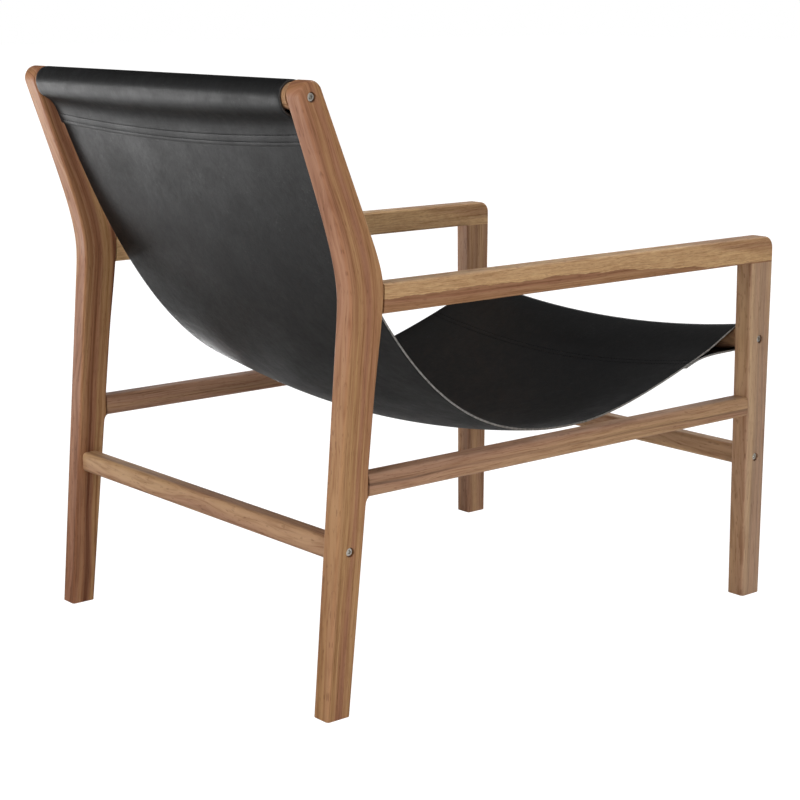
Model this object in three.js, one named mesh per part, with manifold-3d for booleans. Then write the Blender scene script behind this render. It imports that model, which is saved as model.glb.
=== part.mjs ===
// Lounge chair: two timber side frames, four bolted cross members and one leather sling.
// Millimetres, +Z up. The sitter faces -Y, so the sitter's right is -X.
// The origin is on the floor, midway across the chair and midway along its overall depth.

import * as THREE from 'three';
import { mergeVertices } from 'three/addons/utils/BufferGeometryUtils.js';
import Module from 'manifold-3d';

const wasm = await Module();
wasm.setup();

// Overall sizes
const WIDTH = 630;
const FOOT_DEPTH = 806;
const TIMBER = 29;
const EDGE_ROUND = 4;
const CLEARANCE = 0.3;
const OVERRUN = 12;

// Rear post, seen from the side: foot and lean, rake, rounded top and belly at the arm
const POST_FOOT_WIDTH = 35.3;
const POST_BACK_LEAN_SHARE = 0.08;
const POST_FRONT_LEAN_SHARE = 0.105;
const POST_BACK_RAKE_SHARE = 0.355;
const POST_FRONT_RAKE_SHARE = 0.416;
const POST_TOP_RADIUS = 16.7;
const POST_TOP_CENTRE_HEIGHT = 754.3;
const POST_TOP_SETBACK = 14.5;
const POST_BELLY_HEIGHT = 521;
const POST_BELLY_REACH = 91.4;
const LAND_COVE = 10;

// Where the post's bends start and end, as shares of the heights between its foot, belly and top
const BACK_BEND_START_SHARE = 0.908;
const BACK_BEND_END_SHARE = 0.677;
const BACK_BEND_LOW_HANDLE_SHARE = 0.267;
const BACK_BEND_HIGH_HANDLE_SHARE = 0.66;
const FRONT_BEND_START_SHARE = 0.73;
const FRONT_BEND_END_SHARE = 0.29;
const FRONT_LOW_HANDLE_SHARE = 0.355;
const BELLY_LOW_HANDLE_SHARE = 0.205;
const BELLY_HIGH_HANDLE_SHARE = 0.3;
const FRONT_HIGH_HANDLE_SHARE = 0.33;

// Front leg and arm
const LEG_FOOT_WIDTH = 37;
const LEG_TOP_FORWARD = 4.7;
const LEG_TOP_WIDTH = 46.5;
const ARM_TOP = 529;
const ARM_DEPTH = 36.5;
const ARM_NOSE_RADIUS = 17;
const ARM_TENON_THICKNESS = 12;
const ARM_TENON_WIDTH = 28;
const ARM_TENON_LENGTH = 22;

// Side stretchers, tenoned into the post and the leg
const SIDE_STRETCHER_TOP = 299;
const SIDE_STRETCHER_HEIGHT = 28;
const STRETCHER_ROUND = 6.5;
const SIDE_TENON_THICKNESS = 12;
const SIDE_TENON_HEIGHT = 17;
const SIDE_TENON_LENGTH = 20;

// Cross stretchers, bolted between the side frames
const CROSS_STRETCHER_HEIGHT = 28;
const CROSS_STRETCHER_DEPTH = 26.5;
const CROSS_STRETCHER_CENTRE = 208;

// Round rails that carry the leather
const RAIL_RADIUS = 16;
const TOP_RAIL_DROP = 2.3;
const FRONT_RAIL_HEIGHT = 381.6;
const FRONT_RAIL_DISH = 23.5;

// Bolts, threaded inserts, dowels and locating pins
const HEAD_RADIUS = 5;
const HEAD_HEIGHT = 6;
const HEAD_CHAMFER = 0.8;
const HEAD_RECESS = 2.6;
const SOCKET_ACROSS = 5;
const SOCKET_DEPTH = 3;
const SOCKET_SIDES = 6;
const COUNTERBORE_RADIUS = 5.9;
const SHANK_RADIUS = 3;
const BOLT_LENGTH = 45;
const INSERT_RADIUS = 5;
const INSERT_LENGTH = 15;
const BOLT_END_ROOM = 4;
const DOWEL_RADIUS = 5;
const DOWEL_LENGTH = 48;
const DOWEL_SPACING = 17;
const PIN_RADIUS = 2.5;
const PIN_LENGTH = 22;
const PIN_OFFSET = 9.6;

// Leather sling: thickness, width and the two sewn sleeves
const LEATHER = 2.8;
const SLING_GAP = 8;
const TOP_SEAM_DISTANCE = 46;
const TOP_SEAM_BOW = 11;
const TOP_FLAP = 16.5;
const FRONT_SEAM_BACK = 75.7;
const FRONT_SEAM_DROP = 15.1;
const FRONT_FLAP = 41;

// Curve of the leather between its seams: at its side edges, and how much more at mid-width
const BACK_HANDLE_RUN = 88.6;
const BACK_HANDLE_FALL = 179;
const BACK_HANDLE_SAG = 44;
const LOW_BACK_HANDLE = 280;
const LOW_FRONT_HANDLE = 40;
const LOW_FRONT_HANDLE_SAG = 23;
const SEAT_LOW_REACH = 350;
const SEAT_LOW_SHIFT = 14;
const SEAT_LOW_HEIGHT = 299.4;
const SEAT_SAG = 29.3;
const FRONT_HANDLE_RUN = 177.6;
const FRONT_HANDLE_RISE = 66.6;
const FRONT_HANDLE_RUN_SAG = 151;
const FRONT_HANDLE_RISE_SAG = 48.3;

// Angle that a ply clings to its rail beyond the straight line to the seam
const PLY_CLING_ANGLE = 0.2;

// Numbers of steps
const ROUND_SIDES = 24;
const SMALL_SIDES = 16;
const BEVEL_STEPS = 2;
const CORNER_STEPS = 4;
const CURVE_STEPS = 8;
const SLING_SPANS = 8;
const SLEEVE_STEPS = 10;
const PLY_STEPS = 3;
const SEAT_STEPS = 18;
const FLAP_STEPS = 2;

// Places that follow from the sizes
const rollReach = POST_TOP_SETBACK + RAIL_RADIUS + CLEARANCE + LEATHER;
const footFront = (LEG_TOP_FORWARD - rollReach - FOOT_DEPTH) / 2;
const footBack = footFront + FOOT_DEPTH;
const sideCentre = (WIDTH - TIMBER) / 2;
const railLength = WIDTH - 2 * TIMBER - 2 * CLEARANCE;
const slingWidth = WIDTH - 2 * TIMBER - 2 * SLING_GAP;
const armUnderside = ARM_TOP - ARM_DEPTH;
const sideStretcherCentre = SIDE_STRETCHER_TOP - SIDE_STRETCHER_HEIGHT / 2;
const landLow = SIDE_STRETCHER_TOP - SIDE_STRETCHER_HEIGHT;
const armFront = footFront - LEG_TOP_FORWARD;
const postTop = new THREE.Vector2(footBack + POST_TOP_SETBACK, POST_TOP_CENTRE_HEIGHT);
const topRail = new THREE.Vector2(postTop.x, postTop.y - TOP_RAIL_DROP);
const frontRail = new THREE.Vector2(legMiddle(FRONT_RAIL_HEIGHT), FRONT_RAIL_HEIGHT);
const rearStretcher = new THREE.Vector2(postMiddle(CROSS_STRETCHER_CENTRE), CROSS_STRETCHER_CENTRE);
const frontStretcher = new THREE.Vector2(legMiddle(CROSS_STRETCHER_CENTRE), CROSS_STRETCHER_CENTRE);

// Faces of the front leg and of the lower rear post at a height
function legFront(z) {
  return footFront - (LEG_TOP_FORWARD * z) / armUnderside;
}

function legBack(z) {
  const topBack = armFront + LEG_TOP_WIDTH;
  const footEdge = footFront + LEG_FOOT_WIDTH;
  return footEdge + ((topBack - footEdge) * z) / armUnderside;
}

function legMiddle(z) {
  return (legFront(z) + legBack(z)) / 2;
}

function postBack(z) {
  return footBack - POST_BACK_LEAN_SHARE * z;
}

function postFront(z) {
  return footBack - POST_FOOT_WIDTH - POST_FRONT_LEAN_SHARE * z;
}

function postMiddle(z) {
  return (postFront(z) + postBack(z)) / 2;
}

// Solids from geometries, and back again
function solidOf(geometry) {
  const bare = geometry.clone();
  bare.deleteAttribute('normal');
  bare.deleteAttribute('uv');
  const merged = mergeVertices(bare);
  const corners = Array.from(merged.index.array);
  const triangles = corners.filter((_, i) => {
    const [a, b, c] = corners.slice(i - (i % 3), i - (i % 3) + 3);
    return a !== b && b !== c && c !== a;
  });
  return new wasm.Manifold(new wasm.Mesh({
    numProp: 3,
    vertProperties: new Float32Array(merged.attributes.position.array),
    triVerts: new Uint32Array(triangles),
  }));
}

function geometryOf(solid) {
  const mesh = solid.getMesh();
  const geometry = new THREE.BufferGeometry();
  geometry.setAttribute('position', new THREE.BufferAttribute(new Float32Array(mesh.vertProperties), 3));
  geometry.setIndex(new THREE.BufferAttribute(new Uint32Array(mesh.triVerts), 1));
  geometry.computeVertexNormals();
  return geometry;
}

function cut(solid, tools) {
  return tools.reduce((left, tool) => left.subtract(tool), solid);
}

// A profile in Y and Z, extruded along X about a middle plane, with its edges rounded or sharp
function acrossX(profile, width, middle, rounding = 0) {
  const geometry = new THREE.ExtrudeGeometry(profile, {
    depth: width - 2 * rounding,
    bevelEnabled: rounding > 0,
    bevelThickness: rounding,
    bevelSize: rounding,
    bevelOffset: -rounding,
    bevelSegments: BEVEL_STEPS,
    curveSegments: CURVE_STEPS,
  });
  geometry.translate(0, 0, rounding - width / 2);
  geometry.applyMatrix4(new THREE.Matrix4().makeBasis(
    new THREE.Vector3(0, 1, 0),
    new THREE.Vector3(0, 0, 1),
    new THREE.Vector3(1, 0, 0),
  ));
  geometry.translate(middle, 0, 0);
  return solidOf(geometry);
}

// A board of one side frame, cut to its side profile and rounded along its edges
function plank(profile, side) {
  return acrossX(profile, TIMBER, side * sideCentre, EDGE_ROUND);
}

function block(from, to) {
  const low = from.clone().min(to);
  const high = from.clone().max(to);
  const geometry = new THREE.BoxGeometry(high.x - low.x, high.y - low.y, high.z - low.z);
  geometry.translate((low.x + high.x) / 2, (low.y + high.y) / 2, (low.z + high.z) / 2);
  return solidOf(geometry);
}

// A round bar or drill along X or Y, from one place to another
function barX(radius, fromX, toX, place, sides) {
  const geometry = new THREE.CylinderGeometry(radius, radius, Math.abs(toX - fromX), sides);
  geometry.rotateZ(Math.PI / 2);
  geometry.translate((fromX + toX) / 2, place.x, place.y);
  return geometry;
}

function barY(radius, fromY, toY, x, z) {
  const geometry = new THREE.CylinderGeometry(radius, radius, Math.abs(toY - fromY), SMALL_SIDES);
  geometry.translate(x, (fromY + toY) / 2, z);
  return geometry;
}

function roundedRectangle(width, height, radius) {
  const shape = new THREE.Shape();
  const right = width / 2 - radius;
  const top = height / 2 - radius;
  shape.moveTo(right, -top - radius);
  shape.absarc(right, -top, radius, -Math.PI / 2, 0);
  shape.absarc(right, top, radius, 0, Math.PI / 2);
  shape.absarc(-right, top, radius, Math.PI / 2, Math.PI);
  shape.absarc(-right, -top, radius, Math.PI, 1.5 * Math.PI);
  return shape;
}

// Rear post: its whole side outline, as one bent and tapered board
function postOutline() {
  const frontAngle = Math.atan(POST_FRONT_RAKE_SHARE);
  const backAngle = Math.atan(POST_BACK_RAKE_SHARE);
  const frontNormal = new THREE.Vector2(-Math.cos(frontAngle), Math.sin(frontAngle));
  const backNormal = new THREE.Vector2(Math.cos(backAngle), -Math.sin(backAngle));
  const frontTop = postTop.clone().addScaledVector(frontNormal, POST_TOP_RADIUS);
  const backTop = postTop.clone().addScaledVector(backNormal, POST_TOP_RADIUS);
  const frontUpper = (z) => frontTop.x + POST_FRONT_RAKE_SHARE * (z - frontTop.y);
  const backUpper = (z) => backTop.x + POST_BACK_RAKE_SHARE * (z - backTop.y);
  const bellyFront = footBack - POST_BELLY_REACH;
  const landFace = postFront(SIDE_STRETCHER_TOP);
  const coveLow = landLow - LAND_COVE;

  const aboveBelly = POST_TOP_CENTRE_HEIGHT - POST_BELLY_HEIGHT;
  const backLow = POST_BELLY_HEIGHT * BACK_BEND_START_SHARE;
  const backHigh = POST_BELLY_HEIGHT + aboveBelly * BACK_BEND_END_SHARE;
  const backBend = backHigh - backLow;
  const backLowHandle = backLow + backBend * BACK_BEND_LOW_HANDLE_SHARE;
  const backHighHandle = backHigh - backBend * BACK_BEND_HIGH_HANDLE_SHARE;
  const frontLow = POST_BELLY_HEIGHT * FRONT_BEND_START_SHARE;
  const frontHigh = POST_BELLY_HEIGHT + aboveBelly * FRONT_BEND_END_SHARE;
  const underBelly = POST_BELLY_HEIGHT - frontLow;
  const overBelly = frontHigh - POST_BELLY_HEIGHT;
  const frontLowHandle = frontLow + underBelly * FRONT_LOW_HANDLE_SHARE;
  const frontHighHandle = frontHigh - overBelly * FRONT_HIGH_HANDLE_SHARE;

  const shape = new THREE.Shape();
  shape.moveTo(postBack(-OVERRUN), -OVERRUN);
  shape.lineTo(postBack(backLow), backLow);
  shape.bezierCurveTo(
    postBack(backLowHandle), backLowHandle,
    backUpper(backHighHandle), backHighHandle,
    backUpper(backHigh), backHigh,
  );
  shape.lineTo(backTop.x, backTop.y);
  shape.absarc(postTop.x, postTop.y, POST_TOP_RADIUS, -backAngle, Math.PI - frontAngle);
  shape.lineTo(frontUpper(frontHigh), frontHigh);
  shape.bezierCurveTo(
    frontUpper(frontHighHandle), frontHighHandle,
    bellyFront, POST_BELLY_HEIGHT + overBelly * BELLY_HIGH_HANDLE_SHARE,
    bellyFront, POST_BELLY_HEIGHT,
  );
  shape.bezierCurveTo(
    bellyFront, POST_BELLY_HEIGHT - underBelly * BELLY_LOW_HANDLE_SHARE,
    postFront(frontLowHandle), frontLowHandle,
    postFront(frontLow), frontLow,
  );
  shape.lineTo(landFace, SIDE_STRETCHER_TOP);
  shape.lineTo(landFace, landLow);
  shape.bezierCurveTo(
    (landFace + postFront(landLow)) / 2, landLow,
    postFront(landLow), landLow,
    postFront(coveLow), coveLow,
  );
  shape.lineTo(postFront(-OVERRUN), -OVERRUN);
  return shape;
}

// What each bolt leaves in the side frame and in the end of its cross member
function boltHoles(side, place) {
  const outer = (side * WIDTH) / 2;
  const inner = side * (WIDTH / 2 - TIMBER);
  const seat = outer - side * (HEAD_RECESS + HEAD_HEIGHT + CLEARANCE);
  return [
    solidOf(barX(COUNTERBORE_RADIUS, outer + side * OVERRUN, seat, place, SMALL_SIDES)),
    solidOf(barX(SHANK_RADIUS + CLEARANCE, seat + side * CLEARANCE, inner - side * OVERRUN, place, SMALL_SIDES)),
  ];
}

function memberHoles(side, place) {
  const end = (side * railLength) / 2;
  const boltEnd = side * (WIDTH / 2 - HEAD_RECESS - HEAD_HEIGHT - BOLT_LENGTH - BOLT_END_ROOM);
  const insertEnd = end - side * (INSERT_LENGTH + CLEARANCE);
  return [
    solidOf(barX(INSERT_RADIUS + CLEARANCE, end + side * OVERRUN, insertEnd, place, SMALL_SIDES)),
    solidOf(barX(SHANK_RADIUS + CLEARANCE, end, boltEnd, place, SMALL_SIDES)),
  ];
}

// Locating pins beside the bolts stop the cross members from turning
function pinHole(side, place) {
  const joint = side * (WIDTH / 2 - TIMBER);
  const reach = PIN_LENGTH / 2 + CLEARANCE;
  return solidOf(barX(PIN_RADIUS + CLEARANCE, joint - reach, joint + reach, place, SMALL_SIDES));
}

function pinBelow(place) {
  return new THREE.Vector2(place.x, place.y - PIN_OFFSET);
}

function pinBehind(place) {
  return new THREE.Vector2(place.x + PIN_OFFSET, place.y);
}

// Dowels between the arm and the post, one above the other
function dowelHeights() {
  const middle = ARM_TOP - ARM_DEPTH / 2;
  return [middle - DOWEL_SPACING / 2, middle + DOWEL_SPACING / 2];
}

function dowelHoles(side) {
  const joint = footBack - POST_BELLY_REACH;
  const reach = DOWEL_LENGTH / 2 + CLEARANCE;
  return dowelHeights().map((z) => (
    solidOf(barY(DOWEL_RADIUS + CLEARANCE, joint - reach, joint + reach, side * sideCentre, z))
  ));
}

// Tenons and the mortises that take them; a mortise is the tenon with room all round
function armTenon(side, room) {
  const halfX = ARM_TENON_THICKNESS / 2 + room;
  const halfY = ARM_TENON_WIDTH / 2 + room;
  const middle = legMiddle(armUnderside);
  return block(
    new THREE.Vector3(side * sideCentre - halfX, middle - halfY, armUnderside - OVERRUN),
    new THREE.Vector3(side * sideCentre + halfX, middle + halfY, armUnderside + ARM_TENON_LENGTH + room),
  );
}

function sideTenons(side, room) {
  const halfX = SIDE_TENON_THICKNESS / 2 + room;
  const halfZ = SIDE_TENON_HEIGHT / 2 + room;
  const rearEnd = postFront(SIDE_STRETCHER_TOP) + SIDE_TENON_LENGTH + room;
  const frontEnd = legBack(sideStretcherCentre) - SIDE_TENON_LENGTH - room;
  return block(
    new THREE.Vector3(side * sideCentre - halfX, frontEnd, sideStretcherCentre - halfZ),
    new THREE.Vector3(side * sideCentre + halfX, rearEnd, sideStretcherCentre + halfZ),
  );
}

function floorCut(side) {
  return block(
    new THREE.Vector3(side * sideCentre - TIMBER, footFront - TIMBER, -2 * OVERRUN),
    new THREE.Vector3(side * sideCentre + TIMBER, footBack + TIMBER, 0),
  );
}

function makeRearPost(side) {
  return cut(plank(postOutline(), side), [
    floorCut(side),
    ...boltHoles(side, topRail),
    ...boltHoles(side, rearStretcher),
    pinHole(side, pinBelow(rearStretcher)),
    ...dowelHoles(side),
    sideTenons(side, CLEARANCE),
  ]);
}

function makeFrontLeg(side) {
  const shoulder = armUnderside - CLEARANCE;
  const blankTop = armUnderside + OVERRUN;
  const shape = new THREE.Shape([
    new THREE.Vector2(legFront(-OVERRUN), -OVERRUN),
    new THREE.Vector2(legBack(-OVERRUN), -OVERRUN),
    new THREE.Vector2(legBack(blankTop), blankTop),
    new THREE.Vector2(legFront(blankTop), blankTop),
  ]);
  const aboveShoulder = block(
    new THREE.Vector3(side * sideCentre - TIMBER, legFront(blankTop) - OVERRUN, shoulder),
    new THREE.Vector3(side * sideCentre + TIMBER, legBack(blankTop) + OVERRUN, blankTop + OVERRUN),
  );
  const leg = cut(plank(shape, side), [
    floorCut(side),
    aboveShoulder,
    ...boltHoles(side, frontRail),
    ...boltHoles(side, frontStretcher),
    pinHole(side, pinBehind(frontRail)),
    pinHole(side, pinBelow(frontStretcher)),
    sideTenons(side, CLEARANCE),
  ]);
  return leg.add(armTenon(side, 0));
}

// Arm: a straight bar with a rounded nose, scribed to the post's belly at the back
function makeArm(side) {
  const blankEnd = footBack - POST_BELLY_REACH + OVERRUN;
  const shape = new THREE.Shape();
  shape.moveTo(armFront, armUnderside);
  shape.lineTo(blankEnd, armUnderside);
  shape.lineTo(blankEnd, ARM_TOP);
  shape.lineTo(armFront + ARM_NOSE_RADIUS, ARM_TOP);
  shape.absarc(armFront + ARM_NOSE_RADIUS, ARM_TOP - ARM_NOSE_RADIUS, ARM_NOSE_RADIUS, Math.PI / 2, Math.PI);
  const scribe = acrossX(postOutline(), 2 * TIMBER, side * sideCentre).translate([0, -CLEARANCE, 0]);
  return cut(plank(shape, side).add(armSeat(side)), [
    scribe,
    armTenon(side, CLEARANCE),
    ...dowelHoles(side),
  ]);
}

// The underside's rounding dies out where the arm sits on the leg, so the faces run on flush
function armSeat(side) {
  const low = armUnderside - OVERRUN;
  const high = ARM_TOP - ARM_NOSE_RADIUS;
  const back = armFront + LEG_TOP_WIDTH;
  const shape = new THREE.Shape([
    new THREE.Vector2(armFront, low),
    new THREE.Vector2(back, low),
    new THREE.Vector2(back, high),
    new THREE.Vector2(armFront, high),
  ]);
  const belowArm = block(
    new THREE.Vector3(side * sideCentre - TIMBER, armFront - OVERRUN, low - OVERRUN),
    new THREE.Vector3(side * sideCentre + TIMBER, back + OVERRUN, armUnderside),
  );
  return plank(shape, side).subtract(belowArm);
}

// Side stretcher: a rounded bar between the post's flat land and the leg, with a tenon at each end
function makeSideStretcher(side) {
  const rear = postFront(SIDE_STRETCHER_TOP) - CLEARANCE;
  const front = legBack(SIDE_STRETCHER_TOP) + CLEARANCE;
  const section = roundedRectangle(TIMBER, SIDE_STRETCHER_HEIGHT, STRETCHER_ROUND);
  const geometry = new THREE.ExtrudeGeometry(section, {
    depth: rear - front,
    bevelEnabled: false,
    curveSegments: CORNER_STEPS,
  });
  geometry.rotateX(Math.PI / 2);
  geometry.translate(side * sideCentre, rear, sideStretcherCentre);
  return solidOf(geometry).add(sideTenons(side, 0));
}

// Cross stretcher: a rounded bar with an insert and a pin hole in each end
function makeCrossStretcher(place) {
  const section = roundedRectangle(CROSS_STRETCHER_DEPTH, CROSS_STRETCHER_HEIGHT, STRETCHER_ROUND);
  const bar = acrossX(section, railLength, 0).translate([0, place.x, place.y]);
  const tools = [-1, 1].flatMap((side) => [...memberHoles(side, place), pinHole(side, pinBelow(place))]);
  return cut(bar, tools);
}

function makeTopRail() {
  const bar = barX(RAIL_RADIUS, -railLength / 2, railLength / 2, topRail, ROUND_SIDES);
  return cut(solidOf(bar), [-1, 1].flatMap((side) => memberHoles(side, topRail)));
}

// How far the front rail dips below its ends at a distance from the middle
function railDip(x) {
  const half = railLength / 2;
  return FRONT_RAIL_DISH * (1 - (x / half) ** 2);
}

// Places along X where the leather and the front rail have their sections
function slingStations() {
  return Array.from({ length: SLING_SPANS + 1 }, (_, i) => slingWidth * (i / SLING_SPANS - 0.5));
}

// Front rail: a round bar, dished so that its middle lies lower than its ends
function makeFrontRail() {
  const stations = [-railLength / 2, ...slingStations(), railLength / 2];
  const rings = stations.map((x) => Array.from({ length: ROUND_SIDES }, (_, i) => {
    const angle = (2 * Math.PI * i) / ROUND_SIDES;
    const y = frontRail.x + RAIL_RADIUS * Math.cos(angle);
    const z = frontRail.y - railDip(x) + RAIL_RADIUS * Math.sin(angle);
    return new THREE.Vector3(x, y, z);
  }));
  const tools = [-1, 1].flatMap((side) => [
    ...memberHoles(side, frontRail),
    pinHole(side, pinBehind(frontRail)),
  ]);
  return cut(solidOf(loft(rings.map((ring) => [ring]))), tools);
}

// A solid through sections that all have the same loops: an outer loop, then any holes
function loft(sections) {
  const positions = [];
  const faces = [];
  const size = sections[0].reduce((sum, loop) => sum + loop.length, 0);
  sections.forEach((loops) => loops.flat().forEach((p) => positions.push(p.x, p.y, p.z)));
  for (let s = 0; s + 1 < sections.length; s += 1) {
    let start = s * size;
    sections[s].forEach((loop) => {
      loop.forEach((_, i) => {
        const a = start + i;
        const b = start + ((i + 1) % loop.length);
        faces.push(a, b, b + size, a, b + size, a + size);
      });
      start += loop.length;
    });
  }
  const flat = sections[0].map((loop) => loop.map((p) => new THREE.Vector2(p.y, p.z)));
  const last = (sections.length - 1) * size;
  THREE.ShapeUtils.triangulateShape(flat[0], flat.slice(1)).forEach(([a, b, c]) => {
    faces.push(a, c, b);
    faces.push(last + a, last + b, last + c);
  });
  const geometry = new THREE.BufferGeometry();
  geometry.setAttribute('position', new THREE.Float32BufferAttribute(positions, 3));
  geometry.setIndex(faces);
  return geometry;
}

// Unit vector on the back or underside of the leather, for a direction of travel towards the front
function underside(direction) {
  return new THREE.Vector2(-direction.y, direction.x).normalize();
}

// The leather's middle line between its seams at a distance from mid-width, as evenly spaced stations
function seatLine(x) {
  const share = 1 - (x / (slingWidth / 2)) ** 2;
  const backHandle = new THREE.Vector2(-BACK_HANDLE_RUN, -BACK_HANDLE_FALL - BACK_HANDLE_SAG * share);
  const seamDistance = TOP_SEAM_DISTANCE + TOP_SEAM_BOW * share;
  const top = topRail.clone().addScaledVector(backHandle.clone().normalize(), seamDistance);
  const low = new THREE.Vector2(
    frontRail.x + SEAT_LOW_REACH - SEAT_LOW_SHIFT * share,
    SEAT_LOW_HEIGHT - SEAT_SAG * share,
  );
  const front = new THREE.Vector2(
    frontRail.x + FRONT_SEAM_BACK,
    frontRail.y - railDip(x) - FRONT_SEAM_DROP,
  );
  const back = new THREE.CubicBezierCurve(
    top,
    top.clone().add(backHandle),
    new THREE.Vector2(low.x + LOW_BACK_HANDLE, low.y),
    low,
  );
  const seat = new THREE.CubicBezierCurve(
    low,
    new THREE.Vector2(low.x - LOW_FRONT_HANDLE - LOW_FRONT_HANDLE_SAG * share, low.y),
    new THREE.Vector2(
      front.x + FRONT_HANDLE_RUN - FRONT_HANDLE_RUN_SAG * share,
      front.y - FRONT_HANDLE_RISE + FRONT_HANDLE_RISE_SAG * share,
    ),
    front,
  );
  const line = new THREE.CurvePath();
  line.add(back);
  line.add(seat);
  const length = line.getLength();
  const spread = (from, to, steps) => (
    Array.from({ length: steps }, (_, i) => from + ((to - from) * i) / steps)
  );
  const places = [
    ...spread(0, TOP_FLAP, FLAP_STEPS),
    ...spread(TOP_FLAP, length - FRONT_FLAP, SEAT_STEPS),
    ...spread(length - FRONT_FLAP, length, FLAP_STEPS),
    length,
  ];
  return places.map((place) => {
    const u = Math.min(place / length, 1);
    return { point: line.getPointAt(u), normal: underside(line.getTangentAt(u)) };
  });
}

// One ply of a sleeve: from where it leaves the rail to where it joins the seam
function sleevePly(rail, seam, direction, turn) {
  const radius = RAIL_RADIUS + CLEARANCE + LEATHER / 2;
  const toSeam = seam.clone().sub(rail);
  const swing = turn * (Math.acos(radius / toSeam.length()) + PLY_CLING_ANGLE);
  const spoke = toSeam.clone().normalize().rotateAround(new THREE.Vector2(), swing);
  const leave = rail.clone().addScaledVector(spoke, radius);
  const along = new THREE.Vector2(spoke.y, -spoke.x).multiplyScalar(turn);
  const handle = leave.distanceTo(seam) / 3;
  const curve = new THREE.CubicBezierCurve(
    leave,
    leave.clone().addScaledVector(along, handle),
    seam.clone().addScaledVector(direction, -handle),
    seam,
  );
  const points = Array.from({ length: PLY_STEPS + 1 }, (_, i) => {
    const u = i / (PLY_STEPS + 1);
    const tangent = curve.getTangent(u);
    return { point: curve.getPoint(u), outward: new THREE.Vector2(tangent.y, -tangent.x).multiplyScalar(-turn) };
  });
  return { points, angle: Math.atan2(spoke.y, spoke.x) };
}

// A sleeve round a rail: its outer face, and the opening that the rail lies in
function sleeve(rail, mainSeam, flapSeam, direction, turn) {
  const main = sleevePly(rail, mainSeam, direction, turn);
  const flap = sleevePly(rail, flapSeam, direction, -turn);
  const sweep = turn * (((turn * (flap.angle - main.angle)) % (2 * Math.PI) + 2 * Math.PI) % (2 * Math.PI));
  const stretch = 1 / Math.cos(sweep / SLEEVE_STEPS / 2);
  const inner = (RAIL_RADIUS + CLEARANCE) * stretch;
  const arc = Array.from({ length: SLEEVE_STEPS - 1 }, (_, i) => {
    const angle = main.angle + (sweep * (i + 1)) / SLEEVE_STEPS;
    return new THREE.Vector2(Math.cos(angle), Math.sin(angle));
  });
  const side = (ply, distance) => ply.points.map((p) => p.point.clone().addScaledVector(p.outward, distance));
  const face = (distance, radius) => [
    ...side(main, distance).reverse(),
    ...arc.map((ray) => rail.clone().addScaledVector(ray, radius)),
    ...side(flap, distance),
  ];
  const apex = mainSeam.clone().add(flapSeam).divideScalar(2);
  return { outer: face(LEATHER / 2, inner + LEATHER), opening: [apex, ...face(-LEATHER / 2, inner)] };
}

// One cross-section of the sling: its outline and its two sleeve openings
function slingSection(x) {
  const line = seatLine(x);
  const last = line.length - 1;
  const at = (i, layers) => line[i].point.clone().addScaledVector(line[i].normal, layers * LEATHER);
  const run = (from, to, layers) => {
    const step = Math.sign(to - from);
    return Array.from({ length: Math.abs(to - from) + 1 }, (_, i) => at(from + i * step, layers));
  };
  const upward = new THREE.Vector2(line[0].normal.y, -line[0].normal.x).negate();
  const forward = new THREE.Vector2(line[last].normal.y, -line[last].normal.x);
  const lowRail = new THREE.Vector2(frontRail.x, frontRail.y - railDip(x));
  const top = sleeve(topRail, at(0, 0), at(0, 1), upward.clone().negate(), -1);
  const front = sleeve(lowRail, at(last, 0), at(last, 1), forward.clone().negate(), 1);
  const outline = [
    ...run(0, last, -0.5),
    ...front.outer,
    ...run(last, last - FLAP_STEPS, 1.5),
    ...run(last - FLAP_STEPS, FLAP_STEPS, 0.5),
    ...run(FLAP_STEPS, 0, 1.5),
    ...top.outer.reverse(),
  ];
  return [outline, front.opening.reverse(), top.opening].map((loop) => loop.map((p) => new THREE.Vector3(x, p.x, p.y)));
}

function makeSling() {
  return solidOf(loft(slingStations().map(slingSection)));
}

// Bolt with a cylindrical head and a hexagon socket; its axis runs out through the side frame
function makeBolt(side, place) {
  const outline = [
    [0, 0],
    [HEAD_RADIUS - HEAD_CHAMFER, 0],
    [HEAD_RADIUS, -HEAD_CHAMFER],
    [HEAD_RADIUS, -HEAD_HEIGHT],
    [SHANK_RADIUS, -HEAD_HEIGHT],
    [SHANK_RADIUS, -HEAD_HEIGHT - BOLT_LENGTH + HEAD_CHAMFER],
    [SHANK_RADIUS - HEAD_CHAMFER, -HEAD_HEIGHT - BOLT_LENGTH],
    [0, -HEAD_HEIGHT - BOLT_LENGTH],
  ].map(([r, along]) => new THREE.Vector2(r, along)).reverse();
  const body = new THREE.LatheGeometry(outline, SMALL_SIDES);
  const socketCorner = SOCKET_ACROSS / Math.sqrt(3);
  const socket = new THREE.CylinderGeometry(socketCorner, socketCorner, 2 * SOCKET_DEPTH, SOCKET_SIDES);
  const bolt = geometryOf(solidOf(body).subtract(solidOf(socket)));
  bolt.rotateZ((-side * Math.PI) / 2);
  bolt.translate(side * (WIDTH / 2 - HEAD_RECESS), place.x, place.y);
  return bolt;
}

function makeInsert(side, place) {
  const bore = SHANK_RADIUS + CLEARANCE;
  const outline = [
    [bore, 0],
    [INSERT_RADIUS, 0],
    [INSERT_RADIUS, INSERT_LENGTH],
    [bore, INSERT_LENGTH],
    [bore, 0],
  ].map(([r, along]) => new THREE.Vector2(r, along));
  const geometry = new THREE.LatheGeometry(outline, SMALL_SIDES);
  geometry.rotateZ((side * Math.PI) / 2);
  geometry.translate((side * railLength) / 2, place.x, place.y);
  return geometry;
}

function makePin(side, place) {
  const joint = side * (WIDTH / 2 - TIMBER);
  return barX(PIN_RADIUS, joint - PIN_LENGTH / 2, joint + PIN_LENGTH / 2, place, SMALL_SIDES);
}

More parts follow.
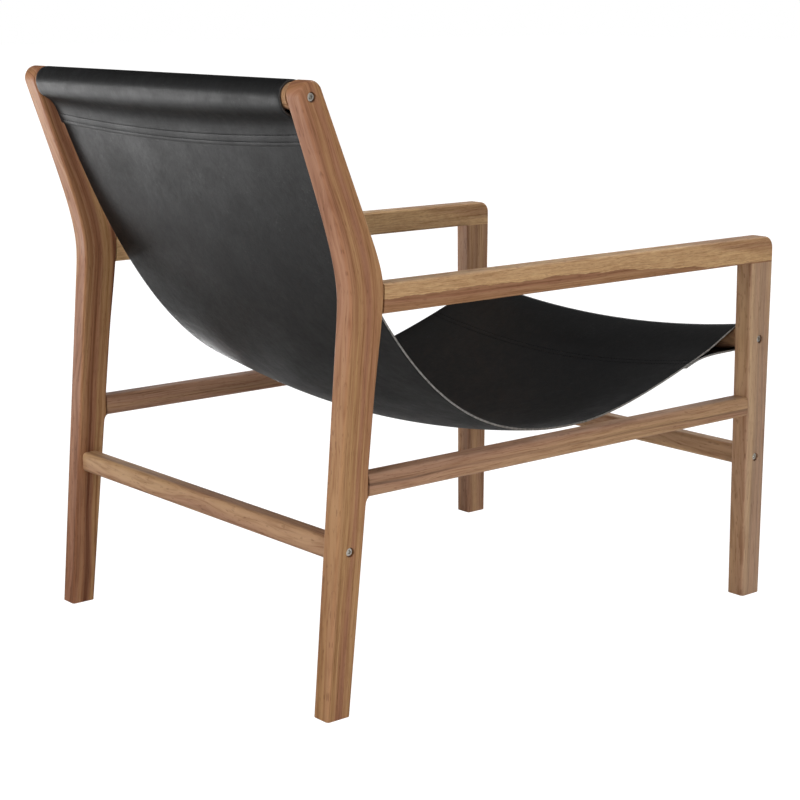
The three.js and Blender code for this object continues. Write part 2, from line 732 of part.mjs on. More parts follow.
function makeDowel(side, z) {
  const joint = footBack - POST_BELLY_REACH;
  return barY(DOWEL_RADIUS, joint - DOWEL_LENGTH / 2, joint + DOWEL_LENGTH / 2, side * sideCentre, z);
}

// Materials
const teak = { color: 0xa5805f, roughness: 0.55, metalness: 0 };
const goldenTeak = { color: 0xb39468, roughness: 0.55, metalness: 0 };
const beech = { color: 0xc9ab80, roughness: 0.7, metalness: 0 };
const leather = { color: 0x2b2b2b, roughness: 0.5, metalness: 0 };
const steel = { color: 0xb8b5ae, roughness: 0.3, metalness: 1 };
const zinc = { color: 0xc2bfa8, roughness: 0.4, metalness: 1 };

const chair = new THREE.Group();

function place(name, geometry, look) {
  const mesh = new THREE.Mesh(geometry, new THREE.MeshStandardMaterial(look));
  mesh.name = name;
  chair.add(mesh);
}

// Side frames: the sitter's right is -1, the left is +1
[['right', -1], ['left', 1]].forEach(([name, side]) => {
  place(`rear_post_${name}`, geometryOf(makeRearPost(side)), teak);
  place(`front_leg_${name}`, geometryOf(makeFrontLeg(side)), teak);
  place(`arm_${name}`, geometryOf(makeArm(side)), goldenTeak);
  place(`side_stretcher_${name}`, geometryOf(makeSideStretcher(side)), teak);
  dowelHeights().forEach((z, i) => {
    place(`arm_dowel_${['lower', 'upper'][i]}_${name}`, makeDowel(side, z), beech);
  });
});

// Cross members and the sling between the frames
place('rear_stretcher', geometryOf(makeCrossStretcher(rearStretcher)), teak);
place('front_stretcher', geometryOf(makeCrossStretcher(frontStretcher)), teak);
place('top_rail', geometryOf(makeTopRail()), teak);
place('front_rail', geometryOf(makeFrontRail()), teak);
place('leather_sling', geometryOf(makeSling()), leather);

// Fasteners at both ends of every cross member
const joints = [
  ['top_rail', topRail, null],
  ['front_rail', frontRail, pinBehind(frontRail)],
  ['rear_stretcher', rearStretcher, pinBelow(rearStretcher)],
  ['front_stretcher', frontStretcher, pinBelow(frontStretcher)],
];
joints.forEach(([member, centre, pin]) => {
  [['right', -1], ['left', 1]].forEach(([name, side]) => {
    place(`bolt_${member}_${name}`, makeBolt(side, centre), steel);
    place(`insert_${member}_${name}`, makeInsert(side, centre), zinc);
    if (pin) {
      place(`pin_${member}_${name}`, makePin(side, pin), beech);
    }
  });
});

export default chair;
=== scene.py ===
import math

import bmesh
import bpy
from mathutils import Matrix, Vector, noise


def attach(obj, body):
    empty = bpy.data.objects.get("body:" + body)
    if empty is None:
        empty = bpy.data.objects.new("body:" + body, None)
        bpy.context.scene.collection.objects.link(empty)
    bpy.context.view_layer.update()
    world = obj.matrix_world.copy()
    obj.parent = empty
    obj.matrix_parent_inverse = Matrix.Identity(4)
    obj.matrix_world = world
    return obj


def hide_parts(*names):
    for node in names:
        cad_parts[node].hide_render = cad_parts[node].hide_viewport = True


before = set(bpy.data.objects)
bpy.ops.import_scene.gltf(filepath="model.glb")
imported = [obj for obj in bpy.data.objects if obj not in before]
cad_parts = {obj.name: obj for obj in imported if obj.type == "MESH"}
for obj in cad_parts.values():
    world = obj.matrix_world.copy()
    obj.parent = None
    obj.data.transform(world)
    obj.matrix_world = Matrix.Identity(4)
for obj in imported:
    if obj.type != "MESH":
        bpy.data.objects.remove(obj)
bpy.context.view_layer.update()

# Sizes of the chair, in millimetres. The sitter faces -Y, and the sitter's right is -X.
MM = 0.001
WIDTH = 630
FOOT_DEPTH = 806
TIMBER = 29
EDGE_ROUND = 4
CLEARANCE = 0.3
OVERRUN = 12

# Rear post, seen from the side
POST_FOOT_WIDTH = 35.3
POST_BACK_LEAN = 0.08
POST_FRONT_LEAN = 0.105
POST_BACK_RAKE = 0.355
POST_FRONT_RAKE = 0.416
POST_TOP_RADIUS = 16.7
POST_TOP_HEIGHT = 754.3
POST_TOP_SETBACK = 14.5
POST_BELLY_HEIGHT = 521
POST_BELLY_REACH = 91.4
LAND_COVE = 10
# Where its bends start and end, as shares of the heights below and above the belly, and how far
# the handles of each curve reach, as shares of the bend
BACK_BEND = (0.908, 0.677)
BACK_BEND_HANDLES = (0.267, 0.66)
BELLY_BEND = (0.73, 0.29)
BELLY_HIGH_HANDLES = (0.33, 0.3)
BELLY_LOW_HANDLES = (0.205, 0.355)
FOOT_EASE = 0.9

# Front leg, arm and stretchers
LEG_FOOT_WIDTH = 37
LEG_TOP_FORWARD = 4.7
LEG_TOP_WIDTH = 46.5
ARM_TOP = 529
ARM_DEPTH = 36.5
ARM_NOSE_RADIUS = 17
STRETCHER_TOP = 299
STRETCHER_HEIGHT = 28
STRETCHER_ROUND = 6.5
CROSS_DEPTH = 26.5
CROSS_CENTRE = 208

# Rails and bolts
RAIL_RADIUS = 16
TOP_RAIL_DROP = 2.3
FRONT_RAIL_HEIGHT = 381.6
FRONT_RAIL_DISH = 23.5
RAIL_END_EASE = 0.8
RAIL_STEPS = 40
HEAD_RADIUS = 5
HEAD_HEIGHT = 6
HEAD_RECESS = 2.6
HEAD_EASE = 0.7
SOCKET_ACROSS = 5
SOCKET_DEPTH = 3
COUNTERBORE_RADIUS = 5.9
COUNTERBORE_FLARE = 1.1
SHANK_RADIUS = 3
BOLT_LENGTH = 45

# Hide: thickness, sleeves, flaps and stitches
LEATHER = 2.8
SLING_GAP = 8
TOP_SEAM_DISTANCE = 44.5
TOP_SEAM_BOW = 11
TOP_FLAP = 16.5
FRONT_SEAM_BACK = 75.7
FRONT_SEAM_DROP = 15.1
FRONT_FLAP = 41
FRONT_SEAM_RUN = 24.5
PLY_GAP = 0.15
MAIN_SLACK = 0.12
TOP_FLAP_SLACK = 0.55
STITCH_ROWS = (2.2, 11.2)
STITCH_PITCH = 5.2
STITCH_LENGTH = 4.1
THREAD_RADIUS = 0.42
STITCH_DENT = 0.2
CUT_EDGE_EASE = 0.5

# Line of the seat between the seams: each measure at the cut edges, and what it gains at mid-width
TOP_HANDLE = ((-134.8, 46.2), (-339.3, 116.3))
LOWEST_BACK = (350, -14)
LOWEST_HEIGHT = (299.4, -29.3)
LOWEST_BACK_HANDLE = (167.7, 112.3)
LOWEST_FRONT_HANDLE = (-40, -23)
FRONT_HANDLE = ((177.6, -151), (-66.6, 48.3))
SEAT_STEPS = 300
# Marks in place of a run from the seam, where the hide lies on a rail or far from any stitch
ON_RAIL, IN_THE_OPEN = -1, 99

# Places that follow from the sizes
ROLL_REACH = POST_TOP_SETBACK + RAIL_RADIUS + CLEARANCE + LEATHER
FOOT_FRONT = (LEG_TOP_FORWARD - ROLL_REACH - FOOT_DEPTH) / 2
FOOT_BACK = FOOT_FRONT + FOOT_DEPTH
SIDE_CENTRE = (WIDTH - TIMBER) / 2
RAIL_LENGTH = WIDTH - 2 * TIMBER - 2 * CLEARANCE
SLING_WIDTH = WIDTH - 2 * TIMBER - 2 * SLING_GAP
SLEEVE_RADIUS = RAIL_RADIUS + CLEARANCE + LEATHER / 2
ARM_UNDERSIDE = ARM_TOP - ARM_DEPTH
ARM_FRONT = FOOT_FRONT - LEG_TOP_FORWARD
LAND_LOW = STRETCHER_TOP - STRETCHER_HEIGHT
BELLY_FRONT = FOOT_BACK - POST_BELLY_REACH
SIDES = (("right", -1), ("left", 1))


def post_back(z):
    return FOOT_BACK - POST_BACK_LEAN * z


def post_front(z):
    return FOOT_BACK - POST_FOOT_WIDTH - POST_FRONT_LEAN * z


def leg_front(z):
    return FOOT_FRONT - LEG_TOP_FORWARD * z / ARM_UNDERSIDE


def leg_back(z):
    foot = FOOT_FRONT + LEG_FOOT_WIDTH
    return foot + (ARM_FRONT + LEG_TOP_WIDTH - foot) * z / ARM_UNDERSIDE


def leg_middle(z):
    return (leg_front(z) + leg_back(z)) / 2


def rail_dip(x):
    """How far the front rail's middle line lies below its ends."""
    return FRONT_RAIL_DISH * (1 - (2 * x / RAIL_LENGTH) ** 2)


# Places seen from the side are pairs: how far back, and how high
POST_TOP = Vector((FOOT_BACK + POST_TOP_SETBACK, POST_TOP_HEIGHT))
TOP_RAIL = Vector((POST_TOP.x, POST_TOP.y - TOP_RAIL_DROP))
FRONT_RAIL = Vector((leg_middle(FRONT_RAIL_HEIGHT), FRONT_RAIL_HEIGHT))
REAR_CROSS = Vector(((post_front(CROSS_CENTRE) + post_back(CROSS_CENTRE)) / 2, CROSS_CENTRE))
FRONT_CROSS = Vector((leg_middle(CROSS_CENTRE), CROSS_CENTRE))



def add_object(name, data):
    item = bpy.data.objects.new(name, data)
    bpy.context.scene.collection.objects.link(item)
    return item


# Camera: behind the chair on its right side, a little above the arms, with a long lens

camera_data = bpy.data.cameras.new("camera")
camera = add_object("camera", camera_data)
camera_data.sensor_width = 36
camera_data.lens = 84.99
camera_data.shift_x = -0.0100
camera_data.shift_y = -0.0369
yaw, pitch = 0.8703, -0.1946
looking = Vector((math.sin(yaw) * math.cos(pitch), -math.cos(yaw) * math.cos(pitch), math.sin(pitch)))
camera.location = (-2.0290, 1.70632, 0.8615)
camera.rotation_euler = looking.to_track_quat("-Z", "Y").to_euler()
bpy.context.scene.camera = camera


# Modelling helpers: all is deselected first, and parts are then chosen by place or normal


def clear_selection():
    if bpy.context.mode != "OBJECT":
        bpy.ops.object.mode_set(mode="OBJECT")
    bpy.ops.object.select_all(action="DESELECT")


def name_piece(name):
    """Names the new primitive and puts its place into its mesh."""
    piece = bpy.context.object
    piece.name = piece.data.name = name
    bpy.ops.object.transform_apply(location=True, rotation=True, scale=True)
    return piece


def work_on(piece, edit=False):
    clear_selection()
    piece.select_set(True)
    bpy.context.view_layer.objects.active = piece
    if edit:
        bpy.ops.object.mode_set(mode="EDIT")
        bpy.ops.mesh.select_all(action="DESELECT")


def choose(piece, kind, test):
    """Selects the vertices, edges or faces that pass a test, and nothing else."""
    modes = {"VERT": (True, False, False), "EDGE": (False, True, False), "FACE": (False, False, True)}
    bpy.ops.mesh.select_all(action="DESELECT")
    bpy.context.tool_settings.mesh_select_mode = modes[kind]
    mesh = bmesh.from_edit_mesh(piece.data)
    mesh.normal_update()
    for item in {"VERT": mesh.verts, "EDGE": mesh.edges, "FACE": mesh.faces}[kind]:
        if test(item):
            item.select_set(True)
    mesh.select_flush_mode()
    bmesh.update_edit_mesh(piece.data)


def face_outwards():
    bpy.ops.mesh.select_all(action="SELECT")
    bpy.ops.mesh.normals_make_consistent(inside=False)


def push_out(step):
    """Extrudes what is chosen by a step in millimetres."""
    bpy.ops.mesh.extrude_region_move(TRANSFORM_OT_translate={"value": [c * MM for c in step]})


def round_chosen(radius, segments):
    bpy.ops.mesh.bevel(
        offset=radius * MM, offset_type="OFFSET", segments=segments, profile=0.5,
        affect="EDGES", clamp_overlap=False, loop_slide=True,
    )


def saw_off(piece, place, away):
    """Saws the piece through at a place, and takes off the side that away points to."""
    work_on(piece, edit=True)
    bpy.ops.mesh.select_all(action="SELECT")
    bpy.ops.mesh.bisect(plane_co=[c * MM for c in place], plane_no=away, use_fill=True, clear_outer=True)


def ease_end(piece, radius, test):
    """A small round along the rim of a sawn end."""
    choose(piece, "EDGE", lambda edge: all(test(v.co) for v in edge.verts))
    round_chosen(radius, 2)


def join_solids(piece, other, operation):
    work_on(piece)
    modifier = piece.modifiers.new("solids", "BOOLEAN")
    modifier.operation = operation
    modifier.object = other
    modifier.solver = "EXACT"
    bpy.ops.object.modifier_apply(modifier=modifier.name)
    bpy.data.objects.remove(other)


def finish_shading(piece, degrees=40):
    """Merges doubles, turns faces outwards, and shades round surfaces smooth and flats flat."""
    work_on(piece, edit=True)
    bpy.ops.mesh.select_all(action="SELECT")
    bpy.ops.mesh.remove_doubles(threshold=0.001 * MM)
    face_outwards()
    work_on(piece)
    bpy.ops.object.shade_smooth_by_angle(angle=math.radians(degrees))
    modifier = piece.modifiers.new("flats", "WEIGHTED_NORMAL")
    modifier.keep_sharp = True
    modifier.weight = 90
    bpy.ops.object.modifier_apply(modifier=modifier.name)
    return piece


def trace_board(name, outline, width, middle):
    """A board: its side profile traced corner by corner, filled, and given its width across the chair."""
    clear_selection()
    start = outline[0]
    bpy.ops.mesh.primitive_plane_add(
        size=MM, location=((middle - width / 2) * MM, start.x * MM, start.y * MM)
    )
    board = name_piece(name)
    work_on(board, edit=True)
    choose(board, "VERT", lambda vertex: True)
    bpy.ops.mesh.merge(type="CENTER")
    for here, there in zip(outline, outline[1:]):
        push_out((0, there.x - here.x, there.y - here.y))
    bpy.ops.mesh.select_all(action="SELECT")
    bpy.ops.mesh.edge_face_add()
    push_out((width, 0, 0))
    face_outwards()
    return board


def round_long_edges(board, radius):
    """Rounds both rims of the traced profile."""

    def rim(edge):
        flats = [abs(face.normal.x) > 0.99 for face in edge.link_faces]
        return len(flats) == 2 and flats[0] != flats[1]

    choose(board, "EDGE", rim)
    round_chosen(radius, 5)


def bar_across(name, radius, places, sides=56):
    """A round bar that runs across the chair through places, each how far along X, back and up."""
    clear_selection()
    bpy.ops.mesh.primitive_circle_add(
        vertices=sides, radius=radius * MM, fill_type="NGON",
        location=[c * MM for c in places[0]], rotation=(0, math.pi / 2, 0),
    )
    bar = name_piece(name)
    work_on(bar, edit=True)
    choose(bar, "FACE", lambda face: True)
    for here, there in zip(places, places[1:]):
        push_out([b - a for a, b in zip(here, there)])
    face_outwards()
    return bar


# Timber side frames


def bolt_cutter(side, place):
    """The counterbore and the shank hole of one bolt, with a fine chamfer at the mouth."""
    outer = side * WIDTH / 2
    seat = outer - side * (HEAD_RECESS + HEAD_HEIGHT + CLEARANCE)
    stations = (outer + side * OVERRUN, outer + side * 0.1, outer - side * 0.5, seat)
    cutter = bar_across("bolt_cutter", COUNTERBORE_RADIUS, [(x, place.x, place.y) for x in stations], 40)
    choose(cutter, "VERT", lambda v: (v.co.x - (outer * MM)) * side > 0)
    bpy.ops.transform.resize(
        value=(1, COUNTERBORE_FLARE, COUNTERBORE_FLARE),
        center_override=(outer * MM, place.x * MM, place.y * MM),
    )
    choose(cutter, "FACE", lambda face: face.normal.x * side < -0.9)
    bpy.ops.mesh.inset(thickness=(COUNTERBORE_RADIUS - SHANK_RADIUS - CLEARANCE) * MM)
    push_out((-side * (TIMBER + OVERRUN), 0, 0))
    face_outwards()
    return cutter


def curve_point(points, t):
    a, b, c, d = points
    u = 1 - t
    return a * u**3 + b * (3 * u * u * t) + c * (3 * u * t * t) + d * t**3


def post_outline():
    """Side profile of the rear post: up its back, over the round top and down past the belly."""
    front_angle, back_angle = math.atan(POST_FRONT_RAKE), math.atan(POST_BACK_RAKE)
    front_top = POST_TOP + POST_TOP_RADIUS * Vector((-math.cos(front_angle), math.sin(front_angle)))
    back_top = POST_TOP + POST_TOP_RADIUS * Vector((math.cos(back_angle), -math.sin(back_angle)))
    above = POST_TOP_HEIGHT - POST_BELLY_HEIGHT
    (back_low, back_high), (front_low, front_high) = (
        (POST_BELLY_HEIGHT * low, POST_BELLY_HEIGHT + above * high) for low, high in (BACK_BEND, BELLY_BEND)
    )
    bend = back_high - back_low
    under, over = POST_BELLY_HEIGHT - front_low, front_high - POST_BELLY_HEIGHT

    def back_lower(z):
        return Vector((post_back(z), z))

    def back_upper(z):
        return Vector((back_top.x + POST_BACK_RAKE * (z - back_top.y), z))

    def front_lower(z):
        return Vector((post_front(z), z))

    def front_upper(z):
        return Vector((front_top.x + POST_FRONT_RAKE * (z - front_top.y), z))

    back_bend = (
        back_lower(back_low),
        back_lower(back_low + bend * BACK_BEND_HANDLES[0]),
        back_upper(back_high - bend * BACK_BEND_HANDLES[1]),
        back_upper(back_high),
    )
    belly_high = (
        front_upper(front_high),
        front_upper(front_high - over * BELLY_HIGH_HANDLES[0]),
        Vector((BELLY_FRONT, POST_BELLY_HEIGHT + over * BELLY_HIGH_HANDLES[1])),
        Vector((BELLY_FRONT, POST_BELLY_HEIGHT)),
    )
    belly_low = (
        Vector((BELLY_FRONT, POST_BELLY_HEIGHT)),
        Vector((BELLY_FRONT, POST_BELLY_HEIGHT - under * BELLY_LOW_HANDLES[0])),
        front_lower(front_low + under * BELLY_LOW_HANDLES[1]),
        front_lower(front_low),
    )
    outline = [back_lower(-OVERRUN)]
    outline += [curve_point(back_bend, i / 28) for i in range(29)]
    for i in range(25):
        angle = -back_angle + (math.pi - front_angle + back_angle) * i / 24
        outline.append(POST_TOP + POST_TOP_RADIUS * Vector((math.cos(angle), math.sin(angle))))
    outline += [curve_point(belly_high, i / 16) for i in range(17)]
    outline += [curve_point(belly_low, i / 24) for i in range(1, 25)]
    outline += [front_lower(z) for z in (STRETCHER_TOP, LAND_LOW + 2, LAND_LOW + 0.6, LAND_LOW)]
    outline += [front_lower(LAND_LOW - drop) for drop in (0.4, 1, 2, 3.5, 5.5, LAND_COVE)]
    outline.append(front_lower(-OVERRUN))
    return outline


def land_step(z):
    """How far the upright land for the side stretcher stands proud of the leaning front face."""
    if LAND_LOW <= z <= STRETCHER_TOP:
        return POST_FRONT_LEAN * (STRETCHER_TOP - z)
    if LAND_LOW - LAND_COVE <= z < LAND_LOW:
        return POST_FRONT_LEAN * STRETCHER_HEIGHT * (1 - (LAND_LOW - z) / LAND_COVE) ** 2.8
    return 0


def finish_upright(board, side, bolts, top=None):
    """Saws a post or a leg off at the floor, eases its foot, saws its top if it has one, and drills it."""
    saw_off(board, (0, 0, 0), (0, 0, -1))
    ease_end(board, FOOT_EASE, lambda co: abs(co.z) < 0.01 * MM)
    if top:
        saw_off(board, (0, 0, top), (0, 0, 1))
    for place in bolts:
        join_solids(board, bolt_cutter(side, place), "DIFFERENCE")
    return finish_shading(board)


def make_rear_post(name, side):
    post = trace_board(name, post_outline(), TIMBER, side * SIDE_CENTRE)
    round_long_edges(post, EDGE_ROUND)
    # The front face is drawn forward level by level to make the land and the cove under it
    levels = sorted({
        round(v.co.z / MM, 3) for v in bmesh.from_edit_mesh(post.data).verts
        if LAND_LOW - LAND_COVE - 1 < v.co.z / MM < STRETCHER_TOP + 1
    })
    for z in levels:
        choose(post, "VERT", lambda v: abs(v.co.z / MM - z) < 0.01 and v.co.y / MM < post_front(z) + 6)
        bpy.ops.transform.translate(value=(0, -land_step(z) * MM, 0))
    return finish_upright(post, side, (TOP_RAIL, REAR_CROSS))


def make_front_leg(name, side):
    heights = (-OVERRUN, ARM_UNDERSIDE + OVERRUN)
    outline = [Vector((leg_back(z), z)) for z in heights]
    outline += [Vector((leg_front(z), z)) for z in reversed(heights)]
    leg = trace_board(name, outline, TIMBER, side * SIDE_CENTRE)
    round_long_edges(leg, EDGE_ROUND)
    return finish_upright(leg, side, (FRONT_RAIL, FRONT_CROSS), top=ARM_UNDERSIDE - 0.1)


def make_arm(name, side):
    rear = BELLY_FRONT + OVERRUN
    nose = Vector((ARM_FRONT + ARM_NOSE_RADIUS, ARM_TOP - ARM_NOSE_RADIUS))
    outline = [Vector((ARM_FRONT, ARM_UNDERSIDE)), Vector((rear, ARM_UNDERSIDE)), Vector((rear, ARM_TOP))]
    for i in range(15):
        angle = math.pi / 2 * (1 + i / 14)
        outline.append(nose + ARM_NOSE_RADIUS * Vector((math.cos(angle), math.sin(angle))))
    arm = trace_board(name, outline, TIMBER, side * SIDE_CENTRE)
    round_long_edges(arm, EDGE_ROUND)
    clear_selection()

    # The underside's rounding dies out where the arm sits on the leg, so the faces run on flush
    seat_back = ARM_FRONT + LEG_TOP_WIDTH
    bpy.ops.mesh.primitive_cube_add(
        size=1,
        location=(side * SIDE_CENTRE * MM, (ARM_FRONT + seat_back) / 2 * MM, (ARM_UNDERSIDE + 5) * MM),
        scale=(TIMBER * MM, LEG_TOP_WIDTH * MM, 10 * MM),
    )
    seat = name_piece("arm_seat")
    work_on(seat, edit=True)
    choose(seat, "EDGE", lambda edge: abs(edge.verts[0].co.z - edge.verts[1].co.z) > 1 * MM)
    round_chosen(EDGE_ROUND, 5)
    join_solids(arm, seat, "UNION")

    # Scribed to the post's belly
    belly = [p - Vector((CLEARANCE, 0)) for p in post_outline()]
    scribe = trace_board("scribe", belly, 2 * TIMBER, side * SIDE_CENTRE)
    join_solids(arm, scribe, "DIFFERENCE")
    return finish_shading(arm)


def rounded_bar(name, low, high, along, radius):
    """A square bar from corner to corner, with its four long edges rounded."""
    clear_selection()
    low, high = Vector(low) * MM, Vector(high) * MM
    bpy.ops.mesh.primitive_cube_add(size=1, location=(low + high) / 2, scale=high - low)
    bar = name_piece(name)
    work_on(bar, edit=True)
    choose(bar, "EDGE", lambda edge: abs((edge.verts[0].co - edge.verts[1].co)[along]) > 100 * MM)
    round_chosen(radius, 6)
    return bar


def make_side_stretcher(name, side):
    front, rear = leg_back(STRETCHER_TOP - STRETCHER_HEIGHT / 2), post_front(STRETCHER_TOP) - CLEARANCE
    bar = rounded_bar(
        name,
        (side * SIDE_CENTRE - TIMBER / 2, front - OVERRUN, LAND_LOW),
        (side * SIDE_CENTRE + TIMBER / 2, rear, STRETCHER_TOP),
        1, STRETCHER_ROUND,
    )
    # The front shoulder is sawn to the leg's slight lean
    lean = (leg_back(STRETCHER_TOP) - leg_back(LAND_LOW)) / STRETCHER_HEIGHT
    saw_off(bar, (0, front + CLEARANCE / 2, STRETCHER_TOP - STRETCHER_HEIGHT / 2), (0, -1, lean))
    return finish_shading(bar)


def make_cross_stretcher(name, place):
    half = Vector((RAIL_LENGTH, CROSS_DEPTH, STRETCHER_HEIGHT)) / 2
    middle = Vector((0, place.x, place.y))
    bar = rounded_bar(name, middle - half, middle + half, 0, STRETCHER_ROUND)
    return finish_shading(bar)


def make_rail(name, place):
    """A round rail: straight at the top, dished at the front."""
    dip = rail_dip if place is FRONT_RAIL else lambda x: 0
    stations = [RAIL_LENGTH * (i / RAIL_STEPS - 0.5) for i in range(RAIL_STEPS + 1)]
    rail = bar_across(name, RAIL_RADIUS, [(x, place.x, place.y - dip(x)) for x in stations])
    ease_end(rail, RAIL_END_EASE, lambda co: abs(co.x) > (RAIL_LENGTH / 2 - 0.1) * MM)
    return finish_shading(rail)


def make_bolt():
    """A socket-head bolt at the origin, its head's face towards -X."""
    bolt = bar_across("bolt", HEAD_RADIUS, [(0, 0, 0), (HEAD_HEIGHT, 0, 0)], 40)
    choose(bolt, "FACE", lambda face: face.normal.x > 0.9)
    bpy.ops.mesh.inset(thickness=(HEAD_RADIUS - SHANK_RADIUS) * MM)
    push_out((BOLT_LENGTH, 0, 0))
    ease_end(bolt, HEAD_EASE, lambda co: abs(co.x) < 0.01 * MM)
    stations = [(x, 0, 0) for x in (-SOCKET_DEPTH, 0, SOCKET_DEPTH)]
    socket = bar_across("socket", SOCKET_ACROSS / math.sqrt(3), stations, 6)
    choose(socket, "FACE", lambda face: face.normal.x > 0.9)
    bpy.ops.mesh.inset(thickness=0.8 * MM)
    bpy.ops.transform.translate(value=(0.7 * MM, 0, 0))
    join_solids(bolt, socket, "DIFFERENCE")
    return finish_shading(bolt, 30)


# Leather sling: one hide that runs up from the back flap, round the top rail, down the back,
# along the seat, round the front rail and back to the front flap


def underside(direction):
    """Unit vector on the back or underside of the hide, for a direction of travel."""
    return Vector((-direction.y, direction.x)).normalized()


def bowed(measure, share):
    """A measure at a share of the way from the cut edge to mid-width."""
    at_edge, gain = measure
    return at_edge + gain * share


class SeatLine:
    """The hide's middle line between its seams, at a distance from mid-width."""

    def __init__(self, x):
        share = 1 - (2 * x / SLING_WIDTH) ** 2
        handle = Vector([bowed(measure, share) for measure in TOP_HANDLE])
        top = TOP_RAIL + handle.normalized() * bowed((TOP_SEAM_DISTANCE, TOP_SEAM_BOW), share)
        low = Vector((FRONT_RAIL.x + bowed(LOWEST_BACK, share), bowed(LOWEST_HEIGHT, share)))
        front = Vector((FRONT_RAIL.x + FRONT_SEAM_BACK, FRONT_RAIL.y - rail_dip(x) - FRONT_SEAM_DROP))
        low_back, low_front = (
            Vector((low.x + bowed(measure, share), low.y))
            for measure in (LOWEST_BACK_HANDLE, LOWEST_FRONT_HANDLE)
        )
        front_back = Vector([c + bowed(measure, share) for c, measure in zip(front, FRONT_HANDLE)])
        back_curve, seat_curve = (top, top + handle, low_back, low), (low, low_front, front_back, front)
        self.points = [curve_point(back_curve, i / SEAT_STEPS) for i in range(SEAT_STEPS)]
        self.points += [curve_point(seat_curve, i / SEAT_STEPS) for i in range(SEAT_STEPS + 1)]
        self.runs = [0]
        for here, there in zip(self.points, self.points[1:]):
            self.runs.append(self.runs[-1] + (there - here).length)
        self.length = self.runs[-1]

    def at(self, run, layers=0):
        """The place a run from the top seam, a number of layers out on the underside."""
        run = min(max(run, 0), self.length)
        low, high = 0, len(self.runs) - 1
        while high - low > 1:
            middle = (low + high) // 2
            low, high = (middle, high) if self.runs[middle] <= run else (low, middle)
        here, there = self.points[low], self.points[high]
        share = (run - self.runs[low]) / (self.runs[high] - self.runs[low])
        before, after = self.points[max(low - 1, 0)], self.points[min(high + 1, len(self.points) - 1)]
        return here.lerp(there, share) + underside(after - before) * (layers * (LEATHER + PLY_GAP))


def sleeve_ply(rail, seam, direction, turn, slack):
    """One side of a sleeve, from the rail to the seam: its curve, and the angle where it leaves the rail.
    Slack is how far in radians it leaves the rail before the tight line, and so how far it bellies out."""
    to_seam = seam - rail
    spoke = to_seam.normalized()
    spoke.rotate(Matrix.Rotation(turn * (math.acos(SLEEVE_RADIUS / to_seam.length) + slack), 2))
    leave = rail + spoke * SLEEVE_RADIUS
    along = Vector((spoke.y, -spoke.x)) * turn
    # The plies lie together for a while before they meet at the seam
    reach = (seam - leave).length
    belly = leave + along * reach * (0.3 + 0.38 * slack)
    curve = (leave, belly, seam - direction * reach * (0.3 + 0.58 * slack), seam)
    return curve, math.atan2(spoke.y, spoke.x)


def sleeve(rail, main_seam, flap_seam, turn, flap_slack):
    """A sleeve's line from the main seam round the rail to the flap's seam, each a place and a direction."""
    main, main_angle = sleeve_ply(rail, *main_seam, turn, MAIN_SLACK)
    flap, flap_angle = sleeve_ply(rail, *flap_seam, -turn, flap_slack)
    sweep = turn * ((turn * (flap_angle - main_angle)) % (2 * math.pi))
    line = [curve_point(main, 1 - i / 10) for i in range(1, 10)]
    for i in range(33):
        angle = main_angle + sweep * i / 32
        line.append(rail + SLEEVE_RADIUS * Vector((math.cos(angle), math.sin(angle))))
    line += [curve_point(flap, i / 10) for i in range(1, 10)]
    return line


def flap_runs(seam, length):
    """Runs along a flap, closer together at the stitches."""
    marks = {seam, length, length - 2.5, seam + (STITCH_ROWS[0] + STITCH_ROWS[1]) / 2}
    for row in STITCH_ROWS:
        marks |= {seam + row + step for step in (-1.4, -0.7, 0, 0.7, 1.4)}
    marks |= {4 * i for i in range(int(seam / 4))}
    return sorted(marks)


def dent(run):
    """How deep the thread pulls the hide in, a run from the seam."""
    return STITCH_DENT * sum(math.exp(-((run - row) / 0.8) ** 2) for row in STITCH_ROWS)


def sling_section(x):
    """One section of the hide: each point's place, its run from the nearer seam, and the run along the hide."""
    seat = SeatLine(x)
    length = seat.length
    low_seam = length - FRONT_SEAM_RUN
    start, end, low_end = (
        (seat.at(run + step) - seat.at(run)).normalized()
        for run, step in ((0, 1), (length, -1), (low_seam, -1))
    )
    low_rail = Vector((FRONT_RAIL.x, FRONT_RAIL.y - rail_dip(x)))
    top_runs, front_runs = flap_runs(0, TOP_FLAP), flap_runs(FRONT_SEAM_RUN, FRONT_FLAP)
    top_sleeve = sleeve(TOP_RAIL, (seat.at(0), start), (seat.at(0, 1), start), -1, TOP_FLAP_SLACK)
    section = [(seat.at(run, 1), run) for run in reversed(top_runs)]
    section += [(p, ON_RAIL) for p in reversed(top_sleeve)]
    section += [(seat.at(run), run) for run in top_runs]
    middle = length - TOP_FLAP - FRONT_FLAP
    section += [(seat.at(TOP_FLAP + middle * i / 96), IN_THE_OPEN) for i in range(1, 96)]
    section += [(seat.at(length - run), run - FRONT_SEAM_RUN) for run in reversed(front_runs)]
    front_sleeve = sleeve(low_rail, (seat.at(length), end), (seat.at(low_seam, 1), low_end), 1, 0)
    section += [(p, ON_RAIL) for p in front_sleeve]
    section += [(seat.at(length - run, 1), run - FRONT_SEAM_RUN) for run in front_runs if run >= FRONT_SEAM_RUN]
    return section


